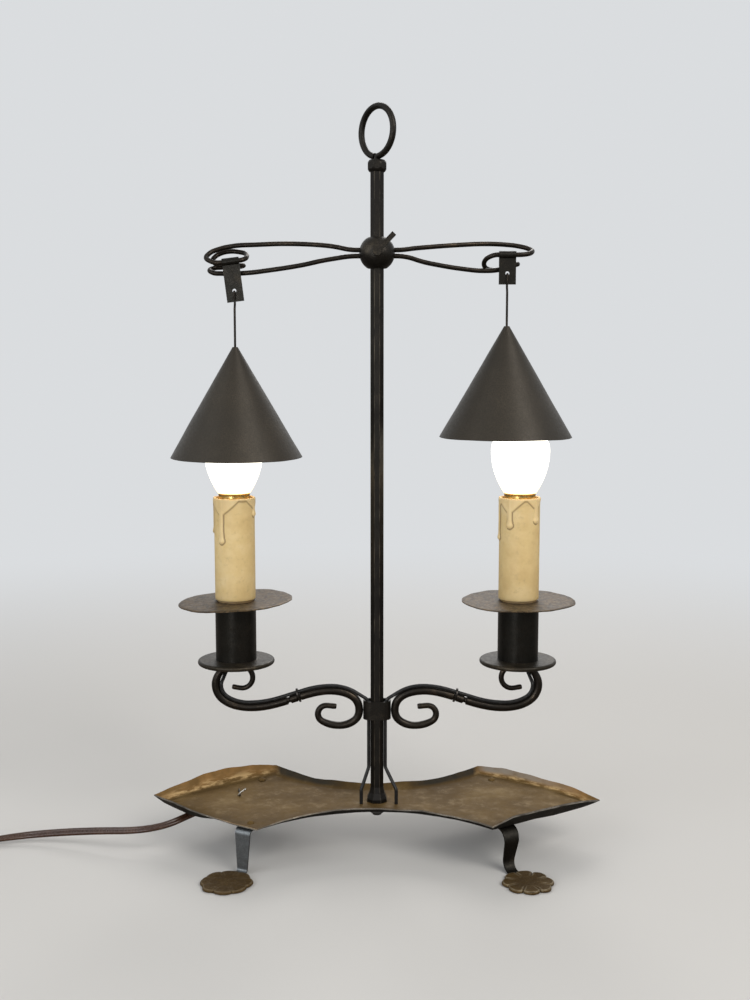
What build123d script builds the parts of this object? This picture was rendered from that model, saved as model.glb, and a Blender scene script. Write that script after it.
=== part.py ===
"""Two-light bouillotte lamp in forged iron.

A four-cornered tray on strap feet carries an octagonal stem with a carrying eye. Two S-scroll arms
hold candle cups with ivory sleeves and bulbs. A ball that slides on the stem carries two coiled wire
arms, and from each hangs a plain sheet cone. Millimetres, +Z up, front towards -Y, table at Z = 0.
"""

import os
from math import asin, copysign, cos, hypot, pi, radians, sin, sqrt, tan

from build123d import *

os.makedirs("parts", exist_ok=True)

# Gaps and overruns that serve every piece
overrun = 2.0
fit_gap = 0.05
running_gap = 0.3
sides = {"left": -1, "right": 1}

# Tray of sheet iron, measured at the top of its flared rim
tray_floor_z = 37.5
tray_sheet = 1.0
tray_tip_x = 192.5
tray_corner_x = 93.0
tray_corner_y = 73.5
tray_waist_y = 31.5
tray_side_bow = 3.0
tray_rim_height = 8.0
tray_rim_flare = 6.5

# Feet: a tapered strap under the tray that curves down and ends in a scalloped pad
foot_rivet_x = 104.0
foot_rivet_y = 52.0
pad_x = 120.5
pad_y = 86.0
strap_thickness = 1.6
strap_top_width = 14.5
strap_floor_width = 8.8
strap_tail = 9.0
strap_usual_bends = {"lead": 4.0, "upper": 9.0, "lower": 8.0, "turn": 105.0}
strap_bends = {"front_left": {"lead": 8.5, "upper": 4.0, "lower": 3.0, "turn": 88.0}}
pad_lobes = 8
pad_core_radius = 15.5
pad_lobe_radius = 6.2
pad_lobe_centre_radius = 14.4
pad_thickness = 2.2
rivet_shank = 3.5
rivet_head_diameter = 6.6
rivet_head_height = 2.0
rivet_tail_diameter = 6.0
rivet_tail_height = 1.2

# Stem: octagonal bar with an upset foot, and a round tenon through the tray
stem_flats = 11.0
stem_top_z = 568.2
stem_foot_flats = 17.0
stem_flare_height = 13.0
stem_flare_shares = ((0.0, 1.0), (0.22, 0.94), (0.6, 0.32), (1.0, 0.0))
tenon_diameter = 8.0
tenon_stub = 2.5
washer_diameter = 22.0
washer_thickness = 1.5
nut_flats = 13.0
nut_height = 7.0

# Carrying eye, bent from rod, and the knob that it stands on
knob_diameter = 16.5
knob_end_diameter = 12.6
knob_flats = 15.2
knob_height = 9.5
eye_rod = 5.2
eye_radius = 19.9
eye_bend = 3.2
eye_centre_rise = 22.95
eye_turn = -50.0
eye_sweep = 344.3
eye_shank_depth = 14.0

# Hollow band that ties both arms and the lamp wires to the stem
collar_width = 23.7
collar_wall = 1.5
collar_height = 16.0
collar_z = 118.5

# Arms: each step is a bend radius and a turn, or a run and no turn, and the rod's size at its end
arm_seat_rod = 6.8
arm_root_bend = 14.0
arm_crest_bend = 34.0
arm_shoulder_bend = 70.0
arm_run = 23.5
arm_belly_bend = 92.0
arm_heel_bend = 39.0
arm_outer_bend = 17.0
arm_head_bend = 16.8
arm_head_run = 4.0
arm_root_turn = 62.0
arm_slope = 17.5
arm_heel_turn = 30.0
arm_head_rod = 4.9
arm_inner_steps = (
    (1.4, 0, 6.8),
    (11.0, 55, 6.6),
    (22.0, 45, 6.3),
    (40.0, 15, 5.8),
    (7.4, 160, 4.8),
    (3.5, 0, 4.8),
    (3.0, 0, 4.8),
    (0.9, 0, 4.4),
    (0.6, 0, 3.1),
)
arm_outer_steps = {
    "root": (arm_root_bend, -arm_root_turn, 7.0),
    "crest": (arm_crest_bend, arm_root_turn - 90, 7.2),
    "shoulder": (arm_shoulder_bend, -arm_slope, 7.2),
    "run": (arm_run, 0, 7.2),
    "belly": (arm_belly_bend, arm_slope, 7.2),
    "heel": (arm_heel_bend, arm_heel_turn, 7.2),
    "outer": (arm_outer_bend, 90 - arm_heel_turn, 7.2),
    "head": (arm_head_bend, 90, arm_head_rod),
    "head run": (arm_head_run, 0, arm_head_rod),
    "curl": (10.8, 90, 4.6),
    "tight curl": (9.2, 100, 4.3),
    "end run": (3.0, 0, 4.3),
    "end": (2.6, 0, 4.3),
    "blunt edge": (0.8, 0, 3.9),
    "blunt tip": (0.6, 0, 2.7),
}
arm_fattest_rod = 7.2
arm_section_turn = 20.0
arm_seat_flat = 0.5
bead_length = 9.0
bead_groove_radius = 1.6
bead_groove_depth = 1.3

# Candle cups, with a thick disc below and a thin wide pan above
cup_x = 120.0
plate_diameter = 65.0
plate_thickness = 3.8
plate_rounding = 1.7
cup_diameter = 34.4
cup_height = 49.6
cup_wall = 1.2
cup_floor = 1.5
cup_lip = 4.2
cup_lip_height = 4.6
cup_rivet_shank = 3.0
cup_rivet_head = 5.6
cup_rivet_head_height = 1.4
cup_rivet_seat = 0.6
pan_diameter = 96.0
pan_sheet = 1.2
pan_hole = 26.0

# Candle sleeve with wax runs, given as azimuth from the front, length and width
sleeve_diameter = 34.0
sleeve_bore = 30.4
sleeve_height = 88.0
wax_rim = 1.4
wax_runs = {
    "left": ((-68, 41.0, 4.2), (-18, 9.0, 4.6), (24, 7.0, 4.6), (77, 18.0, 4.4), (160, 26.0, 4.4)),
    "right": ((-84, 35.0, 4.4), (-50, 24.0, 4.2), (42, 19.0, 4.4), (110, 12.0, 4.4), (-150, 22.0, 4.2)),
}

# Socket inside the sleeve, the strap that carries it, and the bulb
socket_diameter = 29.0
socket_bore = 26.8
socket_below_rim = 3.0
socket_length = 48.0
socket_wire_hole_depth = 6.0
bracket_strap = 1.5
bracket_width = 9.0
bracket_back = 8.0
bracket_front = 5.0
bulb_base_diameter = 26.2
bulb_base_height = 25.0
bulb_base_rise = 1.5
bulb_tip_diameter = 9.0
bulb_tip_height = 2.5
bulb_diameter = 48.0
bulb_neck_diameter = 25.2
bulb_neck_height = 5.0
bulb_centre_rise = 35.2
bulb_wall = 1.0

# Lamp wires, from the socket along the arm and the stem to the splice under the tray
wire_diameter = 3.0
wire_hole = 4.0
wire_hole_out = 7.0
wire_hole_back = 7.0
wire_standoff = 0.35
wire_forward = 2.2
wire_drop_z = 142.0
wire_crest_turn = 4.0
wire_collar_bend = 6.5
wire_flare_top_z = 68.0
wire_flare_bottom_z = 50.0
wire_tray_hole_x = {"left": 13.5, "right": 16.5}
wire_tray_hole_y = -8.0
wire_bend = 5.0
tie_rod = 1.2

# Splice under the tray, and the points that the lamp wires pass on their way to it
splice_diameter = 9.0
splice_length = 32.0
splice_wire_spread = 2.0
splice_lead = 8.0
wire_detour = {"left": (), "right": ((12.0, 12.0), (-12.0, 12.0))}

# Supply cord: its route from the splice to the coil, chosen by hand
cord_diameter = 6.6
cord_z = 31.3
cord_route = (
    (-66.0, 8.0, 31.3),
    (-95.0, 15.0, 31.3),
    (-121.0, 19.0, 31.5),
    (-144.0, 7.0, 30.6),
    (-161.0, -9.0, 29.0),
    (-180.0, -21.0, 26.6),
    (-205.0, -27.0, 23.0),
    (-236.0, -25.0, 18.4),
    (-266.0, -17.0, 13.8),
    (-296.0, -12.5, 9.4),
    (-324.0, -13.0, 5.9),
    (-350.0, -15.0, 4.2),
    (-370.0, -15.0, 4.2),
)
coil_pitch = 7.05
coil_inner_radius = 25.1
coil_quarters_in = 13
coil_quarters_out = 12
coil_lift = 0.9
tie_band = 0.6
tie_width = 9.0
tie_quarter = 6
plug_tail = (18.0, 34.0, 48.0)
plug_width = 25.0
plug_thickness = 16.4
plug_length = 30.0
plug_rounding = 4.0
relief_length = 24.0
relief_end_diameter = 9.0
relief_root_diameter = 14.0
blade_length = 16.0
blade_height = 6.3
blade_thickness = 1.5
blade_spacing = 12.7

# Staple that holds the cord up under the tray
clip_wire = 1.6
clip_bend = 0.9
clip_foot = 3.2

# Shade carrier: a ball on the stem with a wire arm on each side
ball_z = 503.2
ball_diameter = 29.4
ball_height = 25.0
ball_bore_gap = 0.1
loop_rod = 4.0
loop_leg_rise = 2.45
loop_leg_root = 8.0
loop_leg_straight = 16.0

# Strand that each tab hangs on: its middle outwards and above the ball's, and how far it leans
strand_x = {"left": 120.5, "right": 107.2}
strand_rise = {"left": -6.8, "right": -1.4}
strand_lean = {"left": 7.0, "right": 0.0}
strand_spare = 1.0

# The wire's way from the ball to that strand, and from it back to the ball, as outwards, back and up
loop_upper_route = {
    "left": (
        (41.0, 2.0, 6.1),
        (76.0, 7.0, 8.1),
        (100.0, 10.0, 7.6),
        (118.0, 11.8, 6.8),
        (130.0, 12.0, 4.5),
        (138.8, 9.8, 0.6),
        (141.2, 5.8, -3.2),
        (137.4, 1.6, -6.4),
    ),
    "right": (
        (34.0, 2.0, 4.3),
        (69.0, 8.0, 7.3),
        (87.0, 12.0, 8.4),
        (105.0, 15.0, 8.2),
        (117.0, 15.8, 7.0),
        (125.0, 13.6, 4.9),
        (128.4, 9.4, 2.6),
        (126.8, 4.4, 0.4),
        (121.6, 0.9, -1.0),
    ),
}
loop_lower_route = {
    "left": (
        (109.4, 1.8, -4.8),
        (107.8, 7.2, -2.4),
        (109.6, 13.2, 0.6),
        (115.0, 16.8, 2.2),
        (122.0, 18.0, 2.8),
        (129.0, 17.6, 1.6),
        (134.8, 15.4, -1.6),
        (136.6, 12.0, -5.2),
        (133.6, 9.0, -8.2),
        (126.0, 8.0, -9.4),
        (119.0, 8.2, -9.6),
        (113.4, 9.3, -9.4),
        (111.2, 12.9, -9.2),
        (113.4, 16.5, -9.6),
        (120.0, 17.6, -10.0),
        (129.0, 17.2, -10.4),
        (136.4, 15.5, -11.3),
        (139.2, 11.9, -13.2),
        (136.4, 8.3, -15.3),
        (127.0, 7.2, -16.2),
        (106.0, 6.0, -15.6),
        (88.0, 4.4, -13.5),
        (64.0, 2.2, -10.0),
        (40.5, 0.8, -5.3),
    ),
    "right": (
        (94.0, 0.9, -2.4),
        (89.8, 4.0, -4.8),
        (88.6, 8.6, -8.4),
        (91.2, 13.2, -11.6),
        (96.4, 15.8, -12.8),
        (103.0, 16.6, -12.0),
        (109.4, 16.4, -10.2),
        (114.4, 15.0, -8.8),
        (116.8, 11.6, -8.2),
        (114.6, 8.0, -8.9),
        (108.0, 6.9, -11.2),
        (99.0, 6.4, -13.4),
        (88.0, 5.6, -14.0),
        (69.0, 3.4, -12.4),
        (45.0, 1.2, -8.6),
    ),
}
screw_diameter = 5.0
screw_tip_gap = 0.1
screw_running_gap = 0.06
screw_hub_diameter = 7.0
screw_neck = 0.6
wing_length = 19.8
wing_thickness = 4.0
wing_depth = 6.0
wing_angle = 46.0

# Hanging tabs, hooked wires and shades
tab_width = 14.0
tab_leaf = 1.0
tab_strand_gap = 0.08
tab_hole_drop = {"left": 24.0, "right": 15.1}
tab_below_hole = 9.0
tab_hole = 3.4
hook_rod = 1.9
hook_seat_gap = 0.05
hook_bend = 1.25
hook_leg = 7.0
hook_jog = 6.0
shade_hang = {"left": 46.0, "right": 43.0}
shade_height = 91.4
shade_rim_diameter = 110.0
shade_tip_diameter = 4.4
shade_sheet = 0.8
bead_diameter = 6.0
bead_gap = 0.15

# Places that follow from the sizes above
tray_bottom_z = tray_floor_z - tray_sheet
rim_top_z = tray_floor_z + tray_rim_height
nut_bottom_z = tray_bottom_z - washer_thickness - nut_height
knob_top_z = stem_top_z + knob_height
arm_seat_x = collar_width / 2 + arm_seat_rod / 2 + fit_gap
ball_radius = ball_diameter / 2
octagon_turn = 22.5


def save(part, name):
    """Name a finished piece and write it out."""
    part.label = name
    export_step(part, f"parts/{name}.step")


def upright(x, y=0.0):
    """Vertical plane through a post at (x, y), with its own X to the right and its Y up."""
    return Plane((x, y, 0), x_dir=(1, 0, 0), z_dir=(0, -1, 0))


def outward(side):
    """Vertical plane through the stem whose own X runs outwards on that side, and its Y up."""
    return Plane((0, 0, 0), x_dir=(side, 0, 0), z_dir=(0, -side, 0))


def trace(start, heading, steps):
    """Tangent steps from a start and a heading in degrees, as (start, middle, end, heading at the end).

    A step is a bend radius and a turn in degrees, or a run and no turn.
    """
    runs = []
    x, y = start
    angle = radians(heading)
    for size, turn in steps:
        if turn == 0:
            middle = None
            end = (x + size * cos(angle), y + size * sin(angle))
        else:
            hand = copysign(1, turn)
            centre = (x - hand * size * sin(angle), y + hand * size * cos(angle))
            half, full = angle + radians(turn) / 2, angle + radians(turn)
            middle, end = (
                (centre[0] + hand * size * sin(a), centre[1] - hand * size * cos(a)) for a in (half, full)
            )
            angle = full
        runs.append(((x, y), middle, end, angle))
        x, y = end
    return runs


def draw(plane, runs):
    """The edges of traced steps on a plane."""
    for start, middle, end, _ in runs:
        if middle is None:
            Line(plane.from_local_coords(start), plane.from_local_coords(end))
        else:
            ThreePointArc(*(plane.from_local_coords(p) for p in (start, middle, end)))


def round_bar(path, diameter):
    """Round bar along a line."""
    with BuildSketch(Plane(path @ 0, z_dir=path % 0)) as section:
        Circle(diameter / 2)
    sweep(section.sketch, path=path)


def octagon(flats):
    """Regular octagon with flats to the front, back and sides."""
    RegularPolygon(flats / 2, 8, major_radius=False, rotation=octagon_turn)


def turned(x, points):
    """Solid of revolution about the post at x, from (radius, height) points."""
    with BuildSketch(upright(x)) as profile:
        with BuildLine():
            Polyline(*points, close=True)
        make_face()
    revolve(profile.sketch, axis=Axis((x, 0, 0), (0, 0, 1)))


# Base tray
def tray_outline(height, inset):
    """Outline of the tray at a height, drawn in from the rim's top edge by an inset."""
    with BuildSketch(Plane.XY.offset(height)) as outline:
        with BuildLine():
            for end in (1, -1):
                tip = (end * tray_tip_x, 0)
                near, far = ((end * tray_corner_x, end * s * tray_corner_y) for s in (-1, 1))
                SagittaArc(near, tip, -tray_side_bow)
                SagittaArc(tip, far, -tray_side_bow)
                ThreePointArc(far, (0, end * tray_waist_y), (-far[0], far[1]))
        make_face()
        if inset > 0:
            offset(amount=-inset, kind=Kind.INTERSECTION, mode=Mode.REPLACE)
    return outline.sketch


rim_slope = tray_rim_flare / (tray_rim_height + tray_sheet)
rim_wall = tray_sheet * hypot(1, rim_slope)
clip_point = max(range(len(cord_route)), key=lambda i: cord_route[i][1])
clip_corner = Vector(*cord_route[clip_point])
clip_before = (clip_corner - Vector(*cord_route[clip_point - 1])).normalized()
clip_after = (Vector(*cord_route[clip_point + 1]) - clip_corner).normalized()
clip_heading = (clip_before + clip_after).normalized()
clip_half = cord_diameter / 2 + clip_wire / 2 + running_gap


def run_lengths(points):
    """Length of each run of a route."""
    return [(b - a).length for a, b in zip(points, points[1:])]


def route_radii(points, share=0.45):
    """The largest bend at each corner of a route that its runs leave room for."""
    runs = run_lengths(points)
    radii = []
    for i in range(1, len(points) - 1):
        turn = radians((points[i] - points[i - 1]).get_angle(points[i + 1] - points[i]))
        radii.append(share * min(runs[i - 1], runs[i]) / tan(turn / 2))
    return radii


cord_points = [Vector(*p) for p in cord_route]
cord_radii = route_radii(cord_points)
clip_turn = radians(clip_before.get_angle(clip_after))
clip_sink = cord_radii[clip_point - 1] * (1 / cos(clip_turn / 2) - 1)
clip_centre = clip_corner + (clip_after - clip_before).normalized() * clip_sink
clip_across = Vector(-clip_heading.Y, clip_heading.X, 0).normalized()
clip_holes = [clip_centre + clip_across * (s * clip_half) for s in (-1, 1)]
foot_corners = {f"{fb}_{lr}": (x, y) for fb, y in (("front", -1), ("back", 1)) for lr, x in sides.items()}

with BuildPart() as tray:
    loft([tray_outline(tray_bottom_z, tray_rim_flare), tray_outline(rim_top_z, 0)], ruled=True)
    mouth_rise = tray_sheet / 2
    floor_outline = tray_outline(tray_floor_z, rim_slope * tray_rim_height + rim_wall)
    mouth_outline = tray_outline(rim_top_z + mouth_rise, rim_wall - rim_slope * mouth_rise)
    loft([floor_outline, mouth_outline], ruled=True, mode=Mode.SUBTRACT)
    with BuildSketch(Plane.XY.offset(tray_floor_z + overrun)):
        Circle(tenon_diameter / 2 + fit_gap)
        with Locations(*((sides[s] * wire_tray_hole_x[s], wire_tray_hole_y) for s in sides)):
            Circle(wire_hole / 2)
        with Locations(*((x * foot_rivet_x, y * foot_rivet_y) for x, y in foot_corners.values())):
            Circle(rivet_shank / 2 + fit_gap)
        with Locations(*((p.X, p.Y) for p in clip_holes)):
            Circle(clip_wire / 2 + fit_gap)
    extrude(amount=-(tray_sheet + 2 * overrun), mode=Mode.SUBTRACT)
save(tray.part, "base_tray")


# Feet
def make_foot(corner, corner_x, corner_y):
    """Strap foot below one corner of the tray, with its pad flat on the table."""
    reach = Vector(pad_x - foot_rivet_x, pad_y - foot_rivet_y)
    along = Vector(corner_x * reach.X, corner_y * reach.Y).normalized()
    rivet = (corner_x * foot_rivet_x, corner_y * foot_rivet_y, 0)
    profile = Plane(rivet, x_dir=along, z_dir=(along.Y, -along.X, 0))
    top = tray_bottom_z - strap_thickness / 2
    bend = strap_bends.get(corner, strap_usual_bends)
    bends = (bend["upper"] + bend["lower"]) * (1 - cos(radians(bend["turn"])))
    run = (top - strap_thickness / 2 - bends) / sin(radians(bend["turn"]))
    path = trace(
        (-strap_tail, top),
        0,
        (
            (strap_tail + bend["lead"], 0),
            (bend["upper"], -bend["turn"]),
            (run, 0),
            (bend["lower"], bend["turn"]),
        ),
    )
    floor_end = path[-1][2]
    path += trace(floor_end, 0, ((reach.length - floor_end[0], 0),))
    with BuildPart() as foot:
        with BuildLine() as spine:
            draw(profile, path)
        start = profile.from_local_coords(path[0][0])
        across = (-along.Y, along.X, 0)
        with BuildSketch(Plane(start, x_dir=across, z_dir=along)):
            Rectangle(strap_top_width, strap_thickness)
        sweep(path=spine.wire())
        with BuildSketch(Plane(rivet, x_dir=across, z_dir=along).offset(-strap_tail - overrun)):
            with BuildLine():
                half_top, half_floor = strap_top_width / 2, strap_floor_width / 2
                rise = tray_bottom_z
                Polyline((-half_floor, 0), (half_floor, 0), (half_top, rise), (-half_top, rise), close=True)
            make_face()
        extrude(amount=reach.length + strap_tail + 2 * overrun, mode=Mode.INTERSECT)
        pad = Plane((corner_x * pad_x, corner_y * pad_y, 0), x_dir=along, z_dir=(0, 0, 1))
        with BuildSketch(pad):
            Circle(pad_core_radius)
            with PolarLocations(pad_lobe_centre_radius, pad_lobes, start_angle=180 / pad_lobes):
                Circle(pad_lobe_radius)
        extrude(amount=pad_thickness)
        with BuildSketch(Plane((rivet[0], rivet[1], tray_bottom_z + overrun))):
            Circle(rivet_shank / 2 + fit_gap)
        extrude(amount=-(strap_thickness + 2 * overrun), mode=Mode.SUBTRACT)
    return foot.part


for corner, (corner_x, corner_y) in foot_corners.items():
    save(make_foot(corner, corner_x, corner_y), f"foot_{corner}")

with BuildPart() as foot_rivets:
    for corner_x, corner_y in foot_corners.values():
        place = (corner_x * foot_rivet_x, corner_y * foot_rivet_y)
        strap_bottom_z = tray_bottom_z - strap_thickness
        head, tail, shank = rivet_head_diameter / 2, rivet_tail_diameter / 2, rivet_shank / 2
        with BuildSketch(upright(*place)):
            with BuildLine():
                Polyline(
                    (0, tray_floor_z + rivet_head_height),
                    (0, strap_bottom_z - rivet_tail_height),
                    (tail, strap_bottom_z - rivet_tail_height),
                    (tail, strap_bottom_z),
                    (shank, strap_bottom_z),
                    (shank, tray_floor_z),
                    (head, tray_floor_z),
                )
                dome = (head**2 + rivet_head_height**2) / (2 * rivet_head_height)
                half = asin(head / dome) / 2
                crown = (dome * sin(half), tray_floor_z + rivet_head_height - dome * (1 - cos(half)))
                ThreePointArc((head, tray_floor_z), crown, (0, tray_floor_z + rivet_head_height))
            make_face()
        revolve(axis=Axis((*place, 0), (0, 0, 1)))
save(foot_rivets.part, "foot_rivets")

# Stem and its fastening under the tray
with BuildPart() as stem:
    for height_share, flare_share in stem_flare_shares:
        with BuildSketch(Plane.XY.offset(tray_floor_z + stem_flare_height * height_share)):
            octagon(stem_flats + (stem_foot_flats - stem_flats) * flare_share)
    loft(ruled=True)
    with BuildSketch(Plane.XY.offset(tray_floor_z + stem_flare_height)):
        octagon(stem_flats)
    extrude(amount=stem_top_z - tray_floor_z - stem_flare_height)
    with BuildSketch(Plane.XY.offset(tray_floor_z)):
        Circle(tenon_diameter / 2)
    extrude(amount=-(tray_floor_z - nut_bottom_z + tenon_stub))
    with BuildSketch(Plane.XY.offset(stem_top_z)):
        Circle(eye_rod / 2 + fit_gap)
    extrude(amount=-(eye_shank_depth + fit_gap), mode=Mode.SUBTRACT)
save(stem.part, "stem")

with BuildPart() as washer:
    with BuildSketch(Plane.XY.offset(tray_bottom_z)):
        Circle(washer_diameter / 2)
        Circle(tenon_diameter / 2 + fit_gap, mode=Mode.SUBTRACT)
    extrude(amount=-washer_thickness)
save(washer.part, "stem_washer")

with BuildPart() as nut:
    with BuildSketch(Plane.XY.offset(nut_bottom_z)):
        RegularPolygon(nut_flats / 2, 6, major_radius=False)
        Circle(tenon_diameter / 2 + fit_gap, mode=Mode.SUBTRACT)
    extrude(amount=nut_height)
save(nut.part, "stem_nut")

# Knob and carrying eye
with BuildPart() as knob:
    with BuildSketch(Plane.XZ):
        with BuildLine():
            bore, end = eye_rod / 2 + fit_gap, knob_end_diameter / 2
            Polyline((end, stem_top_z), (bore, stem_top_z), (bore, knob_top_z), (end, knob_top_z))
            middle = (knob_diameter / 2, stem_top_z + knob_height / 2)
            ThreePointArc((end, stem_top_z), middle, (end, knob_top_z))
        make_face()
    revolve(axis=Axis.Z)
    with BuildSketch(Plane.XY.offset(stem_top_z)):
        octagon(knob_flats)
    extrude(amount=knob_height, mode=Mode.INTERSECT)
save(knob.part, "ring_collar")

with BuildPart() as eye:
    eye_z = knob_top_z + eye_centre_rise
    lean = asin(sqrt(1 - (eye_bend / (eye_radius + eye_bend)) ** 2))
    bend_z = eye_z - (eye_radius + eye_bend) * sin(lean)
    shank_z = stem_top_z - eye_shank_depth
    turn = radians(eye_turn)
    eye_plane = Plane((0, 0, 0), x_dir=(cos(turn), sin(turn), 0), z_dir=(sin(turn), -cos(turn), 0))
    with BuildLine() as eye_line:
        steps = ((bend_z - shank_z, 0), (eye_bend, -lean * 180 / pi), (eye_radius, eye_sweep))
        draw(eye_plane, trace((0, shank_z), 90, steps))
    round_bar(eye_line.wire(), eye_rod)
save(eye.part, "carry_ring")

# Band round stem and lamp wires
with BuildPart() as collar:
    with BuildSketch(Plane.XY.offset(collar_z - collar_height / 2)):
        depth = stem_flats + 2 * fit_gap + 2 * collar_wall
        SlotOverall(collar_width, depth)
        SlotOverall(collar_width - 2 * collar_wall, depth - 2 * collar_wall, mode=Mode.SUBTRACT)
    extrude(amount=collar_height)
save(collar.part, "arm_collar")


# Arms
def split_steps(steps, start_rod):
    """Long bends cut into even shorter ones, with the rod's size at the end of each."""
    pieces = []
    rod = start_rod
    for size, turn, end_rod in steps:
        count = max(1, round(abs(turn) / arm_section_turn))
        for i in range(1, count + 1):
            pieces.append((size, turn / count, rod + (end_rod - rod) * i / count))
        rod = end_rod
    return pieces


inner_steps = split_steps(arm_inner_steps, arm_seat_rod)
outer_steps = split_steps(arm_outer_steps.values(), arm_seat_rod)
arm_seat = (arm_seat_x, collar_z)
inner_runs = trace(arm_seat, -90, [s[:2] for s in inner_steps])
outer_runs = trace(arm_seat, 90, [s[:2] for s in outer_steps])
long_runs = dict(zip(arm_outer_steps, trace(arm_seat, 90, [s[:2] for s in arm_outer_steps.values()])))
arm_top_z = long_runs["head"][2][1]
plate_z = arm_top_z + arm_head_rod / 2 - arm_seat_flat
plate_top_z = plate_z + plate_thickness
pan_z = plate_top_z + cup_height
sleeve_z = pan_z + pan_sheet
sleeve_top_z = sleeve_z + sleeve_height
run_start, _, run_end, bead_heading = long_runs["run"]
bead_place = ((run_start[0] + run_end[0]) / 2, (run_start[1] + run_end[1]) / 2)


def make_arm(side):
    """S-scroll arm from its inner curl to its outer curl, with a bead between two grooves."""
    plane = outward(side)
    sections = [(arm_seat, pi / 2, arm_seat_rod)]
    for (_, _, end, angle), (_, _, rod) in zip(inner_runs, inner_steps):
        sections.insert(0, (end, angle + pi, rod))
    for (_, _, end, angle), (_, _, rod) in zip(outer_runs, outer_steps):
        sections.append((end, angle, rod))
    with BuildPart() as arm:
        seat = len(inner_steps)
        for half in (sections[: seat + 1], sections[seat:]):
            for place, angle, rod in half:
                along = plane.from_local_coords((cos(angle), sin(angle)))
                with BuildSketch(Plane(plane.from_local_coords(place), x_dir=(0, 1, 0), z_dir=along)):
                    Circle(rod / 2)
            loft()
        with BuildSketch(Plane.XY.offset(plate_z)):
            with Locations((side * cup_x, 0)):
                Rectangle(plate_diameter, arm_fattest_rod)
        extrude(amount=arm_fattest_rod, mode=Mode.SUBTRACT)
        with BuildSketch(Plane((side * cup_x, 0, plate_z + overrun))):
            Circle(cup_rivet_shank / 2 + fit_gap)
        extrude(amount=-(arm_fattest_rod + overrun), mode=Mode.SUBTRACT)
        run = plane.from_local_coords((cos(bead_heading), sin(bead_heading)))
        bead = Plane(plane.from_local_coords(bead_place), x_dir=run, z_dir=plane.z_dir)
        with BuildSketch(bead):
            rise = arm_fattest_rod / 2 + bead_groove_radius - bead_groove_depth
            with Locations((-bead_length / 2, rise), (bead_length / 2, rise)):
                Circle(bead_groove_radius)
        revolve(axis=Axis(bead.origin, run), mode=Mode.SUBTRACT)
    return arm.part


arms = {name: make_arm(side) for name, side in sides.items()}
for name, arm in arms.items():
    save(arm, f"arm_{name}")

# Candle cups, their discs, pans and rivets
wire_hole_x = cup_x + wire_hole_out
foot_plate_top_z = plate_top_z + cup_floor + bracket_strap


def make_cup_parts(name, side):
    """Disc, cup and pan on one arm."""
    x = side * cup_x
    wire_place = (side * wire_hole_x, wire_hole_back)
    with BuildPart() as plate:
        with BuildSketch(Plane((x, 0, plate_z))):
            Circle(plate_diameter / 2)
        extrude(amount=plate_thickness)
        fillet(plate.edges(), radius=plate_rounding)
        with BuildSketch(Plane.XY.offset(plate_top_z + overrun)):
            with Locations((x, 0)):
                Circle(cup_rivet_shank / 2 + fit_gap)
            with Locations(wire_place):
                Circle(wire_hole / 2)
        extrude(amount=-(plate_thickness + 2 * overrun), mode=Mode.SUBTRACT)
    save(plate.part, f"cup_plate_{name}")
    with BuildPart() as cup:
        outer = cup_diameter / 2
        inner = outer - cup_wall
        lip_z = pan_z - cup_lip_height
        floor_z = plate_top_z + cup_floor
        turned(
            x,
            (
                (0, plate_top_z),
                (outer, plate_top_z),
                (outer, lip_z),
                (outer + cup_lip, pan_z),
                (inner + cup_lip, pan_z),
                (inner, lip_z),
                (inner, floor_z),
                (0, floor_z),
            ),
        )
        with BuildSketch(Plane.XY.offset(floor_z + overrun)):
            with Locations((x, 0)):
                Circle(cup_rivet_shank / 2 + fit_gap)
            with Locations(wire_place):
                Circle(wire_hole / 2)
        extrude(amount=-(cup_floor + 2 * overrun), mode=Mode.SUBTRACT)
    save(cup.part, f"cup_{name}")
    with BuildPart() as pan:
        with BuildSketch(Plane((x, 0, pan_z))):
            Circle(pan_diameter / 2)
            Circle(pan_hole / 2, mode=Mode.SUBTRACT)
        extrude(amount=pan_sheet)
    save(pan.part, f"drip_pan_{name}")


for name, side in sides.items():
    make_cup_parts(name, side)

with BuildPart() as cup_rivets:
    arm_under_z = arm_top_z - arm_head_rod / 2 - cup_rivet_seat
    head, shank = cup_rivet_head / 2, cup_rivet_shank / 2
    for side in sides.values():
        turned(
            side * cup_x,
            (
                (0, arm_under_z - cup_rivet_head_height),
                (head, arm_under_z - cup_rivet_head_height),
                (head, arm_under_z),
                (shank, arm_under_z),
                (shank, foot_plate_top_z),
                (head, foot_plate_top_z),
                (head, foot_plate_top_z + cup_rivet_head_height),
                (0, foot_plate_top_z + cup_rivet_head_height),
            ),
        )
save(cup_rivets.part, "cup_rivets")


# Candle sleeves
def make_sleeve(name, side):
    """Ivory sleeve that stands on the pan, with wax runs down its outside."""
    x = side * cup_x
    with BuildPart() as sleeve:
        with BuildSketch(Plane((x, 0, sleeve_z))):
            Circle(sleeve_diameter / 2)
            Circle(sleeve_bore / 2, mode=Mode.SUBTRACT)
        extrude(amount=sleeve_height)
        with Locations((x, 0, sleeve_top_z - wax_rim)):
            Torus(sleeve_diameter / 2 - wax_rim / 2, wax_rim)
        for azimuth, length, width in wax_runs[name]:
            angle = radians(azimuth)
            reach = sleeve_diameter / 2
            place = (x + reach * sin(angle), -reach * cos(angle))
            with BuildSketch(Plane((*place, sleeve_top_z - wax_rim))):
                Circle(width / 2)
            extrude(amount=-(length - wax_rim - width / 2))
            with Locations((*place, sleeve_top_z - length + width / 2)):
                Sphere(width / 2)
        with BuildSketch(Plane((x, 0, sleeve_z - overrun))):
            Circle(sleeve_bore / 2)
        extrude(amount=sleeve_height + 2 * overrun, mode=Mode.SUBTRACT)
    return sleeve.part


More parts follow.
